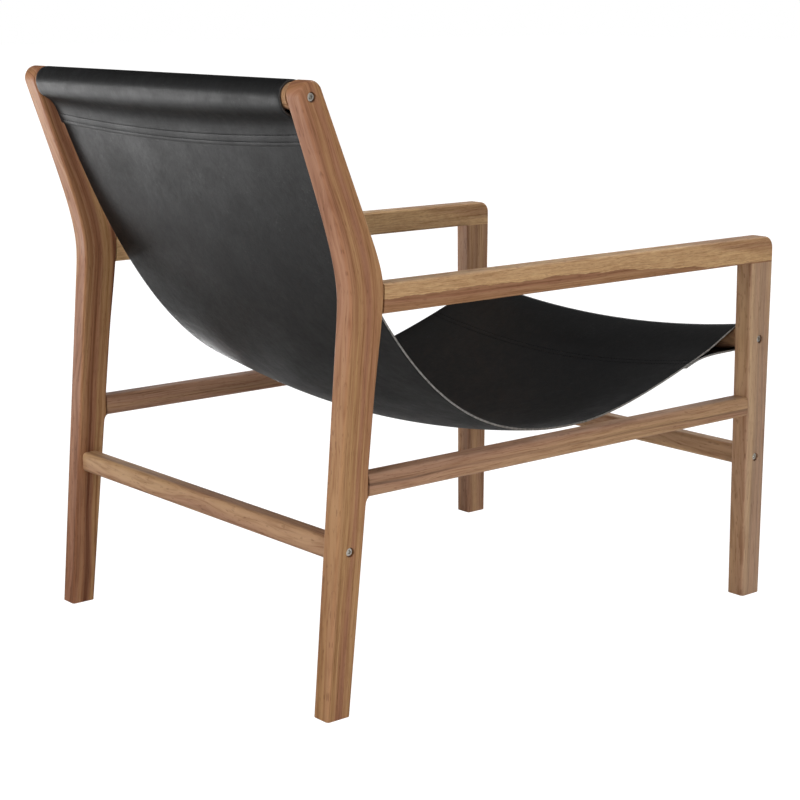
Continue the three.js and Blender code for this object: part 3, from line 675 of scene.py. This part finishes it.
def make_sling(name, columns=72):
    """The hide as one mesh: a seat side, an underside and a cut edge all round."""
    mesh = bmesh.new()
    across = mesh.loops.layers.uv.new("hide")
    sides, lengths = ([], []), []
    for j in range(columns + 1):
        # Columns are closer together near the cut edges
        x = SLING_WIDTH / 2 * math.sin(math.pi / 2 * (2 * j / columns - 1)) * 0.35
        x += SLING_WIDTH / 2 * (2 * j / columns - 1) * 0.65
        section = sling_section(x)
        runs = [0]
        for (here, _), (there, _) in zip(section, section[1:]):
            runs.append(runs[-1] + (there - here).length)
        lengths.append(runs[-1])
        for side, column in enumerate(sides):
            points = []
            for i, (point, run) in enumerate(section):
                before, after = section[max(i - 1, 0)][0], section[min(i + 1, len(section) - 1)][0]
                out = underside(after - before) * (1 if side else -1)
                thick = LEATHER / 2 - (dent(run) if not side and 0 <= run < IN_THE_OPEN else 0)
                place = point + out * thick
                points.append((mesh.verts.new((x * MM, place.x * MM, place.y * MM)), (x * MM, runs[i] * MM)))
            column.append(points)

    def add_face(corners, material):
        face = mesh.faces.new([vertex for vertex, _ in corners])
        face.material_index = material
        face.smooth = True
        for loop, (_, place) in zip(face.loops, corners):
            loop[across].uv = place

    rows = len(sides[0][0])
    for side, grid in enumerate(sides):
        for j in range(columns):
            for i in range(rows - 1):
                corners = [grid[j][i], grid[j + 1][i], grid[j + 1][i + 1], grid[j][i + 1]]
                add_face(corners[::-1] if side else corners, 0)
    rim = [(0, i) for i in range(rows - 1)] + [(j, rows - 1) for j in range(columns)]
    rim += [(columns, i) for i in range(rows - 1, 0, -1)] + [(j, 0) for j in range(columns, 0, -1)]
    for (j, i), (l, k) in zip(rim, rim[1:] + rim[:1]):
        add_face([sides[0][j][i], sides[0][l][k], sides[1][l][k], sides[1][j][i]], 1)
    data = bpy.data.meshes.new(name)
    mesh.to_mesh(data)
    mesh.free()
    sling = add_object(name, data)
    for material in (hide, hide_edge):
        data.materials.append(material)

    # The cut edge is eased on both sides
    work_on(sling, edit=True)
    choose(sling, "EDGE", lambda edge: len({face.material_index for face in edge.link_faces}) == 2)
    round_chosen(CUT_EDGE_EASE, 2)
    face_outwards()
    clear_selection()
    return sling, sum(lengths) / len(lengths)


def make_stitches(name, front):
    """Rows of sewn thread through both plies of a seam, every stitch a copy of one small capsule."""
    capsule = bmesh.new()
    bmesh.ops.create_uvsphere(capsule, u_segments=6, v_segments=6, radius=1)
    shape = [v.co.copy() for v in capsule.verts]
    faces = [[v.index for v in face.verts] for face in capsule.faces]
    capsule.free()
    points, polygons = [], []
    count = int((SLING_WIDTH - 14) / STITCH_PITCH)
    for n in range(count + 1):
        x = (n - count / 2) * STITCH_PITCH
        seat = SeatLine(x)
        for row in STITCH_ROWS:
            run = seat.length - FRONT_SEAM_RUN - row if front else row
            for layer, away in ((0, -1), (1, 1)):
                place = seat.at(run, layer)
                out = underside(seat.at(run + 1) - seat.at(run - 1)) * away
                centre = place + out * (LEATHER / 2 - STITCH_DENT + THREAD_RADIUS * 0.55)
                base = len(points)
                for co in shape:
                    # The capsule's long way runs across the chair
                    offset = out * co.y * THREAD_RADIUS + Vector((out.y, -out.x)) * co.x * THREAD_RADIUS
                    reach = co.z * STITCH_LENGTH / 2
                    points.append(((x + reach) * MM, (centre.x + offset.x) * MM, (centre.y + offset.y) * MM))
                polygons += [[base + i for i in face] for face in faces]
    data = bpy.data.meshes.new(name)
    data.from_pydata(points, [], polygons)
    data.validate()
    stitches = add_object(name, data)
    work_on(stitches, edit=True)
    face_outwards()
    work_on(stitches)
    bpy.ops.object.shade_smooth()
    return stitches


# Materials


def colour(hex_value):
    """An sRGB hex value as linear red, green, blue and alpha."""
    parts = [(hex_value >> shift & 255) / 255 for shift in (16, 8, 0)]
    return (*[c / 12.92 if c <= 0.04045 else ((c + 0.055) / 1.055) ** 2.4 for c in parts], 1)


def connect(node, inputs):
    """Gives a node's inputs plain values, or links them to sockets or to other nodes' first live output."""
    for key, value in inputs.items():
        if isinstance(value, bpy.types.Node):
            value = next(output for output in value.outputs if output.enabled)
        if isinstance(value, bpy.types.NodeSocket):
            node.id_data.links.new(value, node.inputs[key])
        else:
            node.inputs[key].default_value = value


def add_node(tree, kind, inputs=None, stops=None, **settings):
    """Adds a shader node with its settings, its inputs and, for a ramp, its stops."""
    node = tree.nodes.new("ShaderNode" + kind)
    for key, value in settings.items():
        setattr(node, key, value)
    connect(node, inputs or {})
    if stops:
        elements = node.color_ramp.elements
        while len(elements) < len(stops):
            elements.new(0.5)
        for element, (position, shade) in zip(elements, stops):
            element.position = position
            element.color = colour(shade)
    return node


def new_material(name, inputs):
    """A material, what adds nodes to it, and its surface shader, with constants set directly on the sockets."""
    material = bpy.data.materials.new(name)
    material.use_nodes = True
    tree = material.node_tree
    surface = next(node for node in tree.nodes if node.type == "BSDF_PRINCIPLED")
    connect(surface, inputs)

    def add(kind, inputs=None, stops=None, **settings):
        return add_node(tree, kind, inputs, stops, **settings)

    return material, add, surface


def darken(add, tone, share, spots, stops):
    """Lays a share of a pattern's darker shades over a tone, as stain lies in fibres and pores."""
    shades = add("ValToRGB", {0: spots}, stops=stops)
    return add("Mix", {0: share, 6: tone, 7: shades}, data_type="RGBA", blend_type="MULTIPLY")


def wear(add, surface, tone, pattern, rough, smooth, strength, depth):
    """Ties one pattern to all of a surface: its colour, its roughness from rough to smooth, and its relief."""
    gloss = add("MapRange", {0: pattern, 1: 0.3, 2: 0.7, 3: rough, 4: smooth})
    bump = add("Bump", {"Strength": strength, "Distance": depth, "Height": pattern})
    connect(surface, {"Base Color": tone, "Roughness": gloss, "Normal": bump})


def oiled_teak(name, grain, cut=0.0, pale=0.0, painted_light_face=0.0, bent=False, sapwood=False):
    """Teak, sawn, sanded and oiled: a warm brown in soft straight bands 5 to 10 mm wide, from golden to
    pinkish brown, with a few darker lines, fine pores and a satin surface. grain is the axis it runs along,
    cut is where in the log the board lay, and pale is how far it has greyed. The argument after pale is how
    far from the chair's middle a face lies that is painted paler, palest within 3 mm of it, as painted light on
    that face."""
    material, add, surface = new_material(name, {"IOR": 1.5, "Specular IOR Level": 0.21})
    place = add("TexCoord").outputs["Object"]
    axes = add("SeparateXYZ", {0: place})
    # Through, across and along the board
    order = {"X": (2, 1, 0), "Y": (0, 2, 1), "Z": (0, 1, 2)}[grain]
    through, across, along = (axes.outputs[i] for i in order)
    if bent:
        # The grain of the rear post follows its bend: a lean of 9% below and a rake of 38.5% above
        lean = add("Math", {0: along, 1: -0.0925, 2: 0.3709}, operation="MULTIPLY_ADD")
        rake = add("Math", {0: along, 1: 0.385, 2: 0.1127}, operation="MULTIPLY_ADD")
        bend = add("Math", {0: lean, 1: rake, 2: 0.05}, operation="SMOOTH_MAX")
        across = add("Math", {0: across, 1: bend}, operation="SUBTRACT")

    # The year rings lie nearly flat, so a side face shows many narrow bands and an edge a few broad ones
    depth = add("Math", {0: through}, operation="ABSOLUTE")
    rings = add("Math", {0: depth, 1: 0.32, 2: across}, operation="MULTIPLY_ADD")
    drift_place = add("CombineXYZ", {0: through, 1: across, 2: along})
    # The bands wander 3 mm over some 200 mm of length
    drift = add("TexNoise", {"Vector": drift_place, "Scale": 5.0, "Detail": 1.5})
    rings = add("Math", {0: drift, 1: 0.014, 2: rings}, operation="MULTIPLY_ADD")
    rings = add("Math", {0: rings, 1: cut}, operation="ADD")

    def streaks(width, length, detail, shift):
        """Noise drawn out along the grain, of a width and length in metres."""
        cross = add("Math", {0: rings, 1: 1 / width, 2: shift}, operation="MULTIPLY_ADD")
        side = add("Math", {0: through, 1: 9.0}, operation="MULTIPLY")
        run = add("Math", {0: along, 1: 1 / length}, operation="MULTIPLY")
        spot = add("CombineXYZ", {0: cross, 1: side, 2: run})
        return add("TexNoise", {"Vector": spot, "Scale": 1.0, "Detail": detail, "Roughness": 0.5})

    bands = streaks(0.0125, 0.60, 1.0, 0.0)
    tone = add(
        "ValToRGB", {0: bands},
        stops=[(0.28, 0xA27358), (0.43, 0xAD7D5D), (0.53, 0xB48761), (0.70, 0xC1986B)],
    )
    # Narrower bands within them, 3 mm wide and faint
    narrow = streaks(0.0045, 0.45, 1.0, 17.0)
    tone = darken(add, tone, 1.0, narrow, [(0.28, 0xCFC1B0), (0.48, 0xF1EBE5), (0.70, 0xFFFFFF)])
    # Now and then a dark line 1 to 2 mm wide, where growth stopped for a season
    lines = streaks(0.0080, 0.8, 0.0, 31.0)
    tone = darken(add, tone, 0.9, lines, [(0.20, 0xB39C88), (0.28, 0xF0ECE8), (0.33, 0xFFFFFF)])
    if sapwood:
        tone = arm_figure(add, place, tone)
    if pale:
        # A board from near the bark is paler and greyer; on the leg the outer face is painted paler still, as
        # painted light on that face
        if painted_light_face:
            pale = add(
                "MapRange",
                {0: depth, 1: painted_light_face - 0.0035, 2: painted_light_face - 0.0005, 3: pale, 4: pale + 0.15},
            )
        tone = add("Mix", {0: pale, 6: tone, 7: colour(0xDCCFB6)}, data_type="RGBA")
    # Fibres and pores are drawn about 1 mm wide, coarser than real ones, so that they show
    fibres = streaks(0.0014, 0.050, 2.0, 7.0)
    tone = darken(add, tone, 1.0, fibres, [(0.30, 0xDACFC8), (0.50, 0xF8F6F5), (0.70, 0xFFFFFF)])
    pores = streaks(0.0010, 0.012, 1.0, 53.0)
    tone = darken(add, tone, 0.5, pores, [(0.28, 0xB5A59C), (0.38, 0xFFFFFF)])
    # Oil leaves the dense bands a little glossier than the open pores
    gloss = add("MapRange", {0: fibres, 1: 0.3, 2: 0.7, 3: 0.64, 4: 0.50})
    relief = add("Math", {0: pores, 1: fibres}, operation="ADD")
    bump = add("Bump", {"Strength": 0.18, "Distance": 0.0004, "Height": relief})
    connect(surface, {"Base Color": tone, "Roughness": gloss, "Normal": bump})
    return material


def arm_figure(add, place, heartwood):
    """Golden sapwood over reddish heartwood in the arm, with a wavy edge and a few dark lines between them."""
    axes = add("SeparateXYZ", {0: place})
    # The lower edge of the gold falls from mid-depth at the post to the underside near the leg
    low = add(
        "MapRange", {0: axes.outputs[1], 1: -0.42, 2: -0.02, 3: 0.4915, 4: 0.5100},
        interpolation_type="SMOOTHSTEP",
    )
    stretched = add("Mapping", {0: place, 3: (1.0, 0.55, 1.0)})
    waves = add("TexNoise", {"Vector": stretched, "Scale": 42.0, "Detail": 3.0, "Roughness": 0.6})
    # The left arm was cut from the board's pale side, so there the gold reaches its underside
    paler = add("MapRange", {0: axes.outputs[0], 1: 0.0, 2: 0.1, 3: 0.0, 4: -0.03})
    low = add("Math", {0: low, 1: paler}, operation="ADD")
    wavy = add("Math", {0: waves, 1: 0.012, 2: low}, operation="MULTIPLY_ADD")
    above = add("Math", {0: axes.outputs[2], 1: wavy}, operation="SUBTRACT")
    gold_low = add("MapRange", {0: above, 1: -0.0060, 2: -0.0048}, interpolation_type="SMOOTHSTEP")
    # A reddish band grows down from the top edge towards the front
    top = add("MapRange", {0: axes.outputs[1], 1: -0.40, 2: -0.16, 3: 0.5070, 4: 0.5420})
    ripples = add("TexNoise", {"Vector": place, "Scale": 17.0, "Detail": 2.0, "Roughness": 0.6})
    rippled = add("Math", {0: ripples, 1: 0.010, 2: top}, operation="MULTIPLY_ADD")
    below = add("Math", {0: rippled, 1: axes.outputs[2]}, operation="SUBTRACT")
    gold_high = add("MapRange", {0: below, 1: 0.0010, 2: 0.0098, 3: 0.45}, interpolation_type="SMOOTHSTEP")
    gold = add("Math", {0: gold_low, 1: gold_high}, operation="MULTIPLY")
    # Flecks and short pale rays, drawn 2 mm wide and 11 mm long, over broad soft patches
    stretch = add("Mapping", {0: place, 3: (420, 90, 420)})
    flecks = add("TexNoise", {"Vector": stretch, "Scale": 1.0, "Detail": 4.0, "Roughness": 0.7})
    sap = add("ValToRGB", {0: flecks}, stops=[(0.26, 0xBC9468), (0.46, 0xCFA97A), (0.70, 0xDEBB8C)])
    mellow = add("Mix", {0: 0.22, 6: sap, 7: heartwood}, data_type="RGBA")
    # The arm's heartwood is a shade darker and redder than the posts'
    heartwood = add("Mix", {0: 1.0, 6: heartwood, 7: colour(0xEAE6EE)}, data_type="RGBA", blend_type="MULTIPLY")
    figured = add("Mix", {0: gold, 6: heartwood, 7: mellow}, data_type="RGBA")
    # Dark growth lines follow the edge of the gold, about 3 mm apart, and fade away from it
    near = add("MapRange", {0: above, 1: -0.0105, 2: -0.0052}, interpolation_type="SMOOTHSTEP")
    past = add("MapRange", {0: above, 1: -0.0052, 2: -0.0030, 3: 1.0, 4: 0.0})
    beside = add("Math", {0: near, 1: past}, operation="MULTIPLY")
    turns = add("Math", {0: above, 1: 2100.0}, operation="MULTIPLY")
    crest = add("Math", {0: turns}, operation="SINE")
    line = add("MapRange", {0: crest, 1: 0.45, 2: 0.95})
    shade = add("Math", {0: line, 1: beside}, operation="MULTIPLY")
    faint = add("Math", {0: shade, 1: 0.5}, operation="MULTIPLY")
    return add("Mix", {0: faint, 6: figured, 7: colour(0x7A563F)}, data_type="RGBA")


def black_hide():
    """Vegetable-tanned saddle hide, dyed black and waxed: cloudy greys, fine grain, a dull and uneven shine."""
    material, add, surface = new_material("waxed_black_saddle_leather", {"IOR": 1.5})
    spread = add("UVMap", uv_map="hide")
    # Clouds some 70 mm across, with smaller ones in them, where dye and wax took unevenly
    clouds = add(
        "TexNoise",
        {"Vector": spread, "Scale": 14.0, "Detail": 5.0, "Roughness": 0.58, "Distortion": 0.25},
    )
    tone = add("ValToRGB", {0: clouds}, stops=[(0.32, 0x0A0A0A), (0.50, 0x111112), (0.68, 0x1A1A1B)])
    # Grain of 1 mm pebbles, drawn twice as coarse so that it shows
    pebbles = add("TexVoronoi", {"Vector": spread, "Scale": 450.0}, feature="SMOOTH_F1")
    mottle = add("TexNoise", {"Vector": spread, "Scale": 95.0, "Detail": 4.0, "Roughness": 0.7})
    tone = darken(add, tone, 0.9, mottle, [(0.30, 0xC4C4C4), (0.50, 0xECECEC), (0.70, 0xFFFFFF)])
    # Scuffs: small pale specks in loose groups
    specks = add("TexNoise", {"Vector": spread, "Scale": 260.0, "Detail": 3.0, "Roughness": 0.7})
    groups = add("TexNoise", {"Vector": spread, "Scale": 27.0, "Detail": 3.0})
    speck = add("MapRange", {0: specks, 1: 0.56, 2: 0.74})
    group = add("MapRange", {0: groups, 1: 0.48, 2: 0.70})
    scuff = add("Math", {0: speck, 1: group}, operation="MULTIPLY")
    tone = add("Mix", {0: scuff, 6: tone, 7: colour(0x3C3C3B)}, data_type="RGBA")
    # Where the flap turns in under the top rail, 43 mm up the hide, a dead black band is painted as shade in
    # the valley under the roll
    along = add("SeparateXYZ", {0: spread}).outputs[1]
    offset = add("Math", {0: along, 1: 0.043}, operation="SUBTRACT")
    off_fold = add("Math", {0: offset}, operation="ABSOLUTE")
    fold_shade = add("MapRange", {0: off_fold, 1: 0.003, 2: 0.023, 3: 1.0, 4: 0.0}, interpolation_type="SMOOTHSTEP")
    tone = add("Mix", {0: fold_shade, 6: tone, 7: colour(0x090909)}, data_type="RGBA")
    # Behind and under the sitter, 0.4 to 0.8 m along it, the hide is painted a shade darker, as painted shade
    # where it faces down towards the shadowed floor under the chair; drawn and loose mark where this starts and
    # ends
    drawn, loose = (
        add("MapRange", {0: along, 1: low, 2: high, 4: 0.75}, interpolation_type="SMOOTHSTEP")
        for low, high in ((0.3, 0.5), (0.7, 0.9))
    )
    lower_shade = add("Math", {0: drawn, 1: loose}, operation="SUBTRACT")
    tone = add("Mix", {0: lower_shade, 6: tone, 7: colour(0x0A0A0A)}, data_type="RGBA")
    # The painted shade of the fold and of the lower hide also lowers the shine there
    dull = add("Math", {0: lower_shade, 1: 0.45}, operation="MULTIPLY")
    dull = add("Math", {0: fold_shade, 1: dull}, operation="MAXIMUM")
    shine = add("MapRange", {0: dull, 3: 0.29, 4: 0.14})
    # Wax makes the pale clouds glossier; the rest is dull
    rubbed_and_unshaded = add("Math", {0: clouds, 1: 0.6, 2: 0.0}, operation="MULTIPLY_ADD")
    mixed = add("Math", {0: mottle, 1: 0.4, 2: rubbed_and_unshaded}, operation="MULTIPLY_ADD")
    gloss = add("MapRange", {0: mixed, 1: 0.34, 2: 0.66, 3: 0.62, 4: 0.46})
    bump = add("Bump", {"Strength": 0.15, "Distance": 0.0004, "Height": pebbles})
    rough = add("Bump", {"Strength": 0.16, "Distance": 0.0020, "Height": mottle, "Normal": bump})
    uneven = add("Bump", {"Strength": 0.12, "Distance": 0.0060, "Height": clouds, "Normal": rough})
    connect(surface, {"Base Color": tone, "Specular IOR Level": shine, "Roughness": gloss, "Normal": uneven})
    return material


def cut_hide_edge():
    """The hide's cut edge, dyed, waxed and burnished: smoother than its faces, with streaks, and greyer, partly
    its own grey and partly a painted highlight of the light on its eased rim.
    """
    material, add, surface = new_material("burnished_leather_edge", {"IOR": 1.5, "Specular IOR Level": 0.6})
    spread = add("UVMap", uv_map="hide")
    fibres = add("TexNoise", {"Vector": spread, "Scale": 260.0, "Detail": 3.0})
    # The pale grey is partly the edge's own and partly a painted highlight
    tone = add("ValToRGB", {0: fibres}, stops=[(0.35, 0x6E6C69), (0.50, 0x82807C), (0.65, 0x93908B)])
    # Round the top rail, up to some 180 mm along the hide, the edge is painted dark as shade, where the
    # sleeve's end lies in shadow by the post
    along = add("SeparateXYZ", {0: spread}).outputs[1]
    rubbed_and_unshaded = add("MapRange", {0: along, 1: 0.15, 2: 0.21, 3: 0.12, 4: 1.0})
    tone = add("Mix", {0: rubbed_and_unshaded, 6: colour(0x1C1B1B), 7: tone}, data_type="RGBA")
    wear(add, surface, tone, fibres, 0.5, 0.36, 0.15, 0.0003)
    return material


def waxed_thread():
    """Bonded black thread, waxed: near black and dull, with a twist that catches a little light."""
    material, add, surface = new_material("waxed_black_thread", {"IOR": 1.5, "Specular IOR Level": 0.15})
    place = add("TexCoord").outputs["Object"]
    # Strands twist once in about 4 mm of thread, drawn coarse so that it shows
    twist = add(
        "TexWave", {"Vector": place, "Scale": 160.0, "Distortion": 1.0}, bands_direction="DIAGONAL",
    ).outputs["Fac"]
    tone = add("ValToRGB", {0: twist}, stops=[(0.2, 0x080808), (0.8, 0x151515)])
    gloss = add("MapRange", {0: twist, 3: 0.75, 4: 0.6})
    connect(surface, {"Base Color": tone, "Roughness": gloss})
    return material


def bare_metal(name, low, high, rough, scratch):
    """A turned and plated or bare metal part: fine scratches round it break up the shine."""
    material, add, surface = new_material(name, {"Metallic": 1.0})
    place = add("TexCoord").outputs["Object"]
    # Tool marks, drawn half a millimetre wide
    marks = add("TexNoise", {"Vector": place, "Scale": scratch, "Detail": 3.0})
    tone = add("ValToRGB", {0: marks}, stops=[(0.3, low), (0.7, high)])
    wear(add, surface, tone, marks, rough + 0.08, rough - 0.06, 0.1, 0.0001)
    return material


def turned_beech():
    """Beech dowel, turned and fluted, unfinished: pale, with short brown flecks along it."""
    material, add, surface = new_material("unfinished_beech", {"IOR": 1.5, "Specular IOR Level": 0.3})
    place = add("TexCoord").outputs["Object"]
    # Flecks about 1 mm wide and 3 mm long
    stretch = add("Mapping", {0: place, 3: (300, 300, 900)})
    flecks = add("TexNoise", {"Vector": stretch, "Scale": 1.0, "Detail": 2.0})
    tone = add("ValToRGB", {0: flecks}, stops=[(0.30, 0xA98458), (0.45, 0xCBAA80), (0.70, 0xD9BE98)])
    wear(add, surface, tone, flecks, 0.75, 0.62, 0.15, 0.0003)
    return material


post_teak = oiled_teak("oiled_teak_rear_post", "Z", bent=True)
# The leg's outer face is painted paler, as painted light on that face
leg_teak = oiled_teak(
    "oiled_teak_front_leg", "Z", cut=0.013, pale=0.12, painted_light_face=(SIDE_CENTRE + TIMBER / 2) * MM,
)
arm_teak = oiled_teak("oiled_teak_arm_with_sapwood", "Y", sapwood=True)
side_teak = oiled_teak("oiled_teak_side_stretcher", "Y", cut=0.004, pale=0.14)
cross_teak = oiled_teak("oiled_teak_cross_member", "X", pale=0.11)
beech = turned_beech()
hide = black_hide()
hide_edge = cut_hide_edge()
thread = waxed_thread()
# Stainless steel, turned: a cool mid grey with a soft shine
bolt_steel = bare_metal("turned_stainless_steel", 0xB4B0A7, 0xE2DED5, 0.36, 1800.0)
# Zinc-plated steel: yellower and duller
insert_zinc = bare_metal("zinc_plated_steel", 0x9B9779, 0xC9C5A6, 0.42, 1500.0)


# The pieces


def finish_piece(piece, material, slot, *nodes):
    """Gives a piece its material, lets it stand for its solid, and fixes it to the chair."""
    if material:
        piece.data.materials.clear()
        piece.data.materials.append(material)
    if nodes:
        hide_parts(*nodes)
    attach(piece, "root")
    return piece


for name, side in SIDES:
    finish_piece(make_rear_post(f"teak_rear_post_{name}", side), post_teak, "teak", f"rear_post_{name}")
    finish_piece(make_front_leg(f"teak_front_leg_{name}", side), leg_teak, "teak", f"front_leg_{name}")
    finish_piece(make_arm(f"teak_arm_{name}", side), arm_teak, "arm_teak", f"arm_{name}")
    finish_piece(
        make_side_stretcher(f"teak_side_stretcher_{name}", side), side_teak, "teak", f"side_stretcher_{name}"
    )

crosses = {
    "rear_stretcher": REAR_CROSS, "front_stretcher": FRONT_CROSS,
    "top_rail": TOP_RAIL, "front_rail": FRONT_RAIL,
}
for member, place in crosses.items():
    make = make_cross_stretcher if "stretcher" in member else make_rail
    finish_piece(make(f"teak_{member}", place), cross_teak, "teak", member)

pattern = make_bolt()
for member, place in crosses.items():
    for name, side in SIDES:
        work_on(pattern)
        bpy.ops.object.duplicate()
        bolt = bpy.context.object
        bolt.location = (side * (WIDTH / 2 - HEAD_RECESS) * MM, place.x * MM, place.y * MM)
        bolt.rotation_euler = (0, 0, 0 if side < 0 else math.pi)
        name_piece(f"steel_bolt_{member}_{name}")
        finish_piece(bolt, bolt_steel, "steel", f"bolt_{member}_{name}")
bpy.data.objects.remove(pattern)

sling, hide_length = make_sling("hide_sling")
finish_piece(sling, None, "leather", "leather_sling")
seams = [
    finish_piece(make_stitches(f"thread_{name}_seam", front), thread, "leather")
    for name, front in (("top", False), ("front", True))
]

# Hidden fixings stay as the solid model has them, with their own finishes
for name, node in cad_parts.items():
    if name.startswith(("arm_dowel", "pin")):
        node.data.materials[0] = beech
    elif name.startswith("insert"):
        node.data.materials[0] = insert_zinc


# Floor, light and background: white paper, soft boxes round the chair, and a bright floor behind it


def plain_matt(name, shade):
    """Seamless white paper, matt. The camera sees it lit right through, so that no shadow stains it."""
    material, add, surface = new_material(name, {"Roughness": 0.9, "Specular IOR Level": 0.1})
    connect(surface, {"Base Color": colour(shade)})
    glow = add("Emission", {"Color": (1, 1, 1, 1), "Strength": 1.2})
    seen = add("LightPath").outputs["Is Camera Ray"]
    share = add("Math", {0: seen, 1: 0.9}, operation="MULTIPLY")
    both = add("MixShader", {0: share, 1: surface, 2: glow})
    output = next(node for node in material.node_tree.nodes if node.type == "OUTPUT_MATERIAL")
    connect(output, {"Surface": both})
    return material


clear_selection()
bpy.ops.mesh.primitive_plane_add(size=60)
floor = bpy.context.object
floor.name = "floor"
floor.data.materials.append(plain_matt("white_background_paper", 0xF4F4F4))

# The studio's walls are dim, and the camera sees plain white
world = bpy.data.worlds.new("studio")
bpy.context.scene.world = world
world.use_nodes = True
studio = world.node_tree
background = next(node for node in studio.nodes if node.type == "BACKGROUND")
direction = add_node(studio, "TexCoord").outputs["Generated"]
rise = add_node(studio, "SeparateXYZ", {0: direction}).outputs[2]
ramp = add_node(
    studio, "ValToRGB", {0: rise},
    stops=[(0.0, 0x303030), (0.30, 0x2C2C2C), (0.60, 0x242424), (1.0, 0x202020)],
)
seen = add_node(studio, "LightPath").outputs["Is Camera Ray"]
shown = add_node(studio, "Mix", {0: seen, 6: ramp, 7: (1, 1, 1, 1)}, data_type="RGBA")
connect(background, {"Color": shown, "Strength": 1.0})


def soft_box(name, place, size, power, target=(0, 0.1, 0.45)):
    """A rectangular light that shines at the middle of the chair unless told otherwise."""
    data = bpy.data.lights.new(name, "AREA")
    data.shape = "RECTANGLE"
    data.size, data.size_y = size
    data.energy = power
    light = add_object(name, data)
    light.location = place
    light.rotation_euler = (Vector(target) - Vector(place)).to_track_quat("-Z", "Y").to_euler()
    light.visible_camera = False


# Soft boxes at sitting height round the chair, two high ones, and a long low one beyond its left front corner
for name, place, size, power in (
    ("rear_box", (0.0, 3.33, 1.14), (1.5, 1.5), 26),
    ("rear_right_box", (-2.28, 2.38, 1.14), (1.5, 1.5), 12.5),
    ("right_box", (-3.23, 0.1, 1.14), (1.5, 1.5), 36),
    ("left_box", (3.23, 0.1, 1.14), (1.5, 1.5), 6),
    ("high_rear_box", (0.0, 2.43, 2.78), (1.5, 1.5), 36),
    ("high_front_box", (0.0, -2.23, 2.78), (1.5, 1.5), 52),
    ("low_strip_box", (3.1, -2.5, 0.75), (3.0, 0.7), 30),
):
    soft_box(name, place, size, power)
# Panels on the floor at the chair's left shine up, and the leather mirrors them as a bright floor
for name, x, y, size, power in (
    ("near_floor_panel", 2.0, 1.3, 1.0, 32),
    ("rear_floor_panel", 3.2, 2.0, 1.4, 166),
    ("left_floor_panel", 1.4, -0.6, 0.8, 31),
    ("far_floor_panel", 2.4, -0.3, 1.2, 60),
):
    soft_box(name, (x, y, 0.02), (size, size), power, target=(x, y, 1))

view = bpy.context.scene.view_settings
view.view_transform, view.look = "Standard", "None"
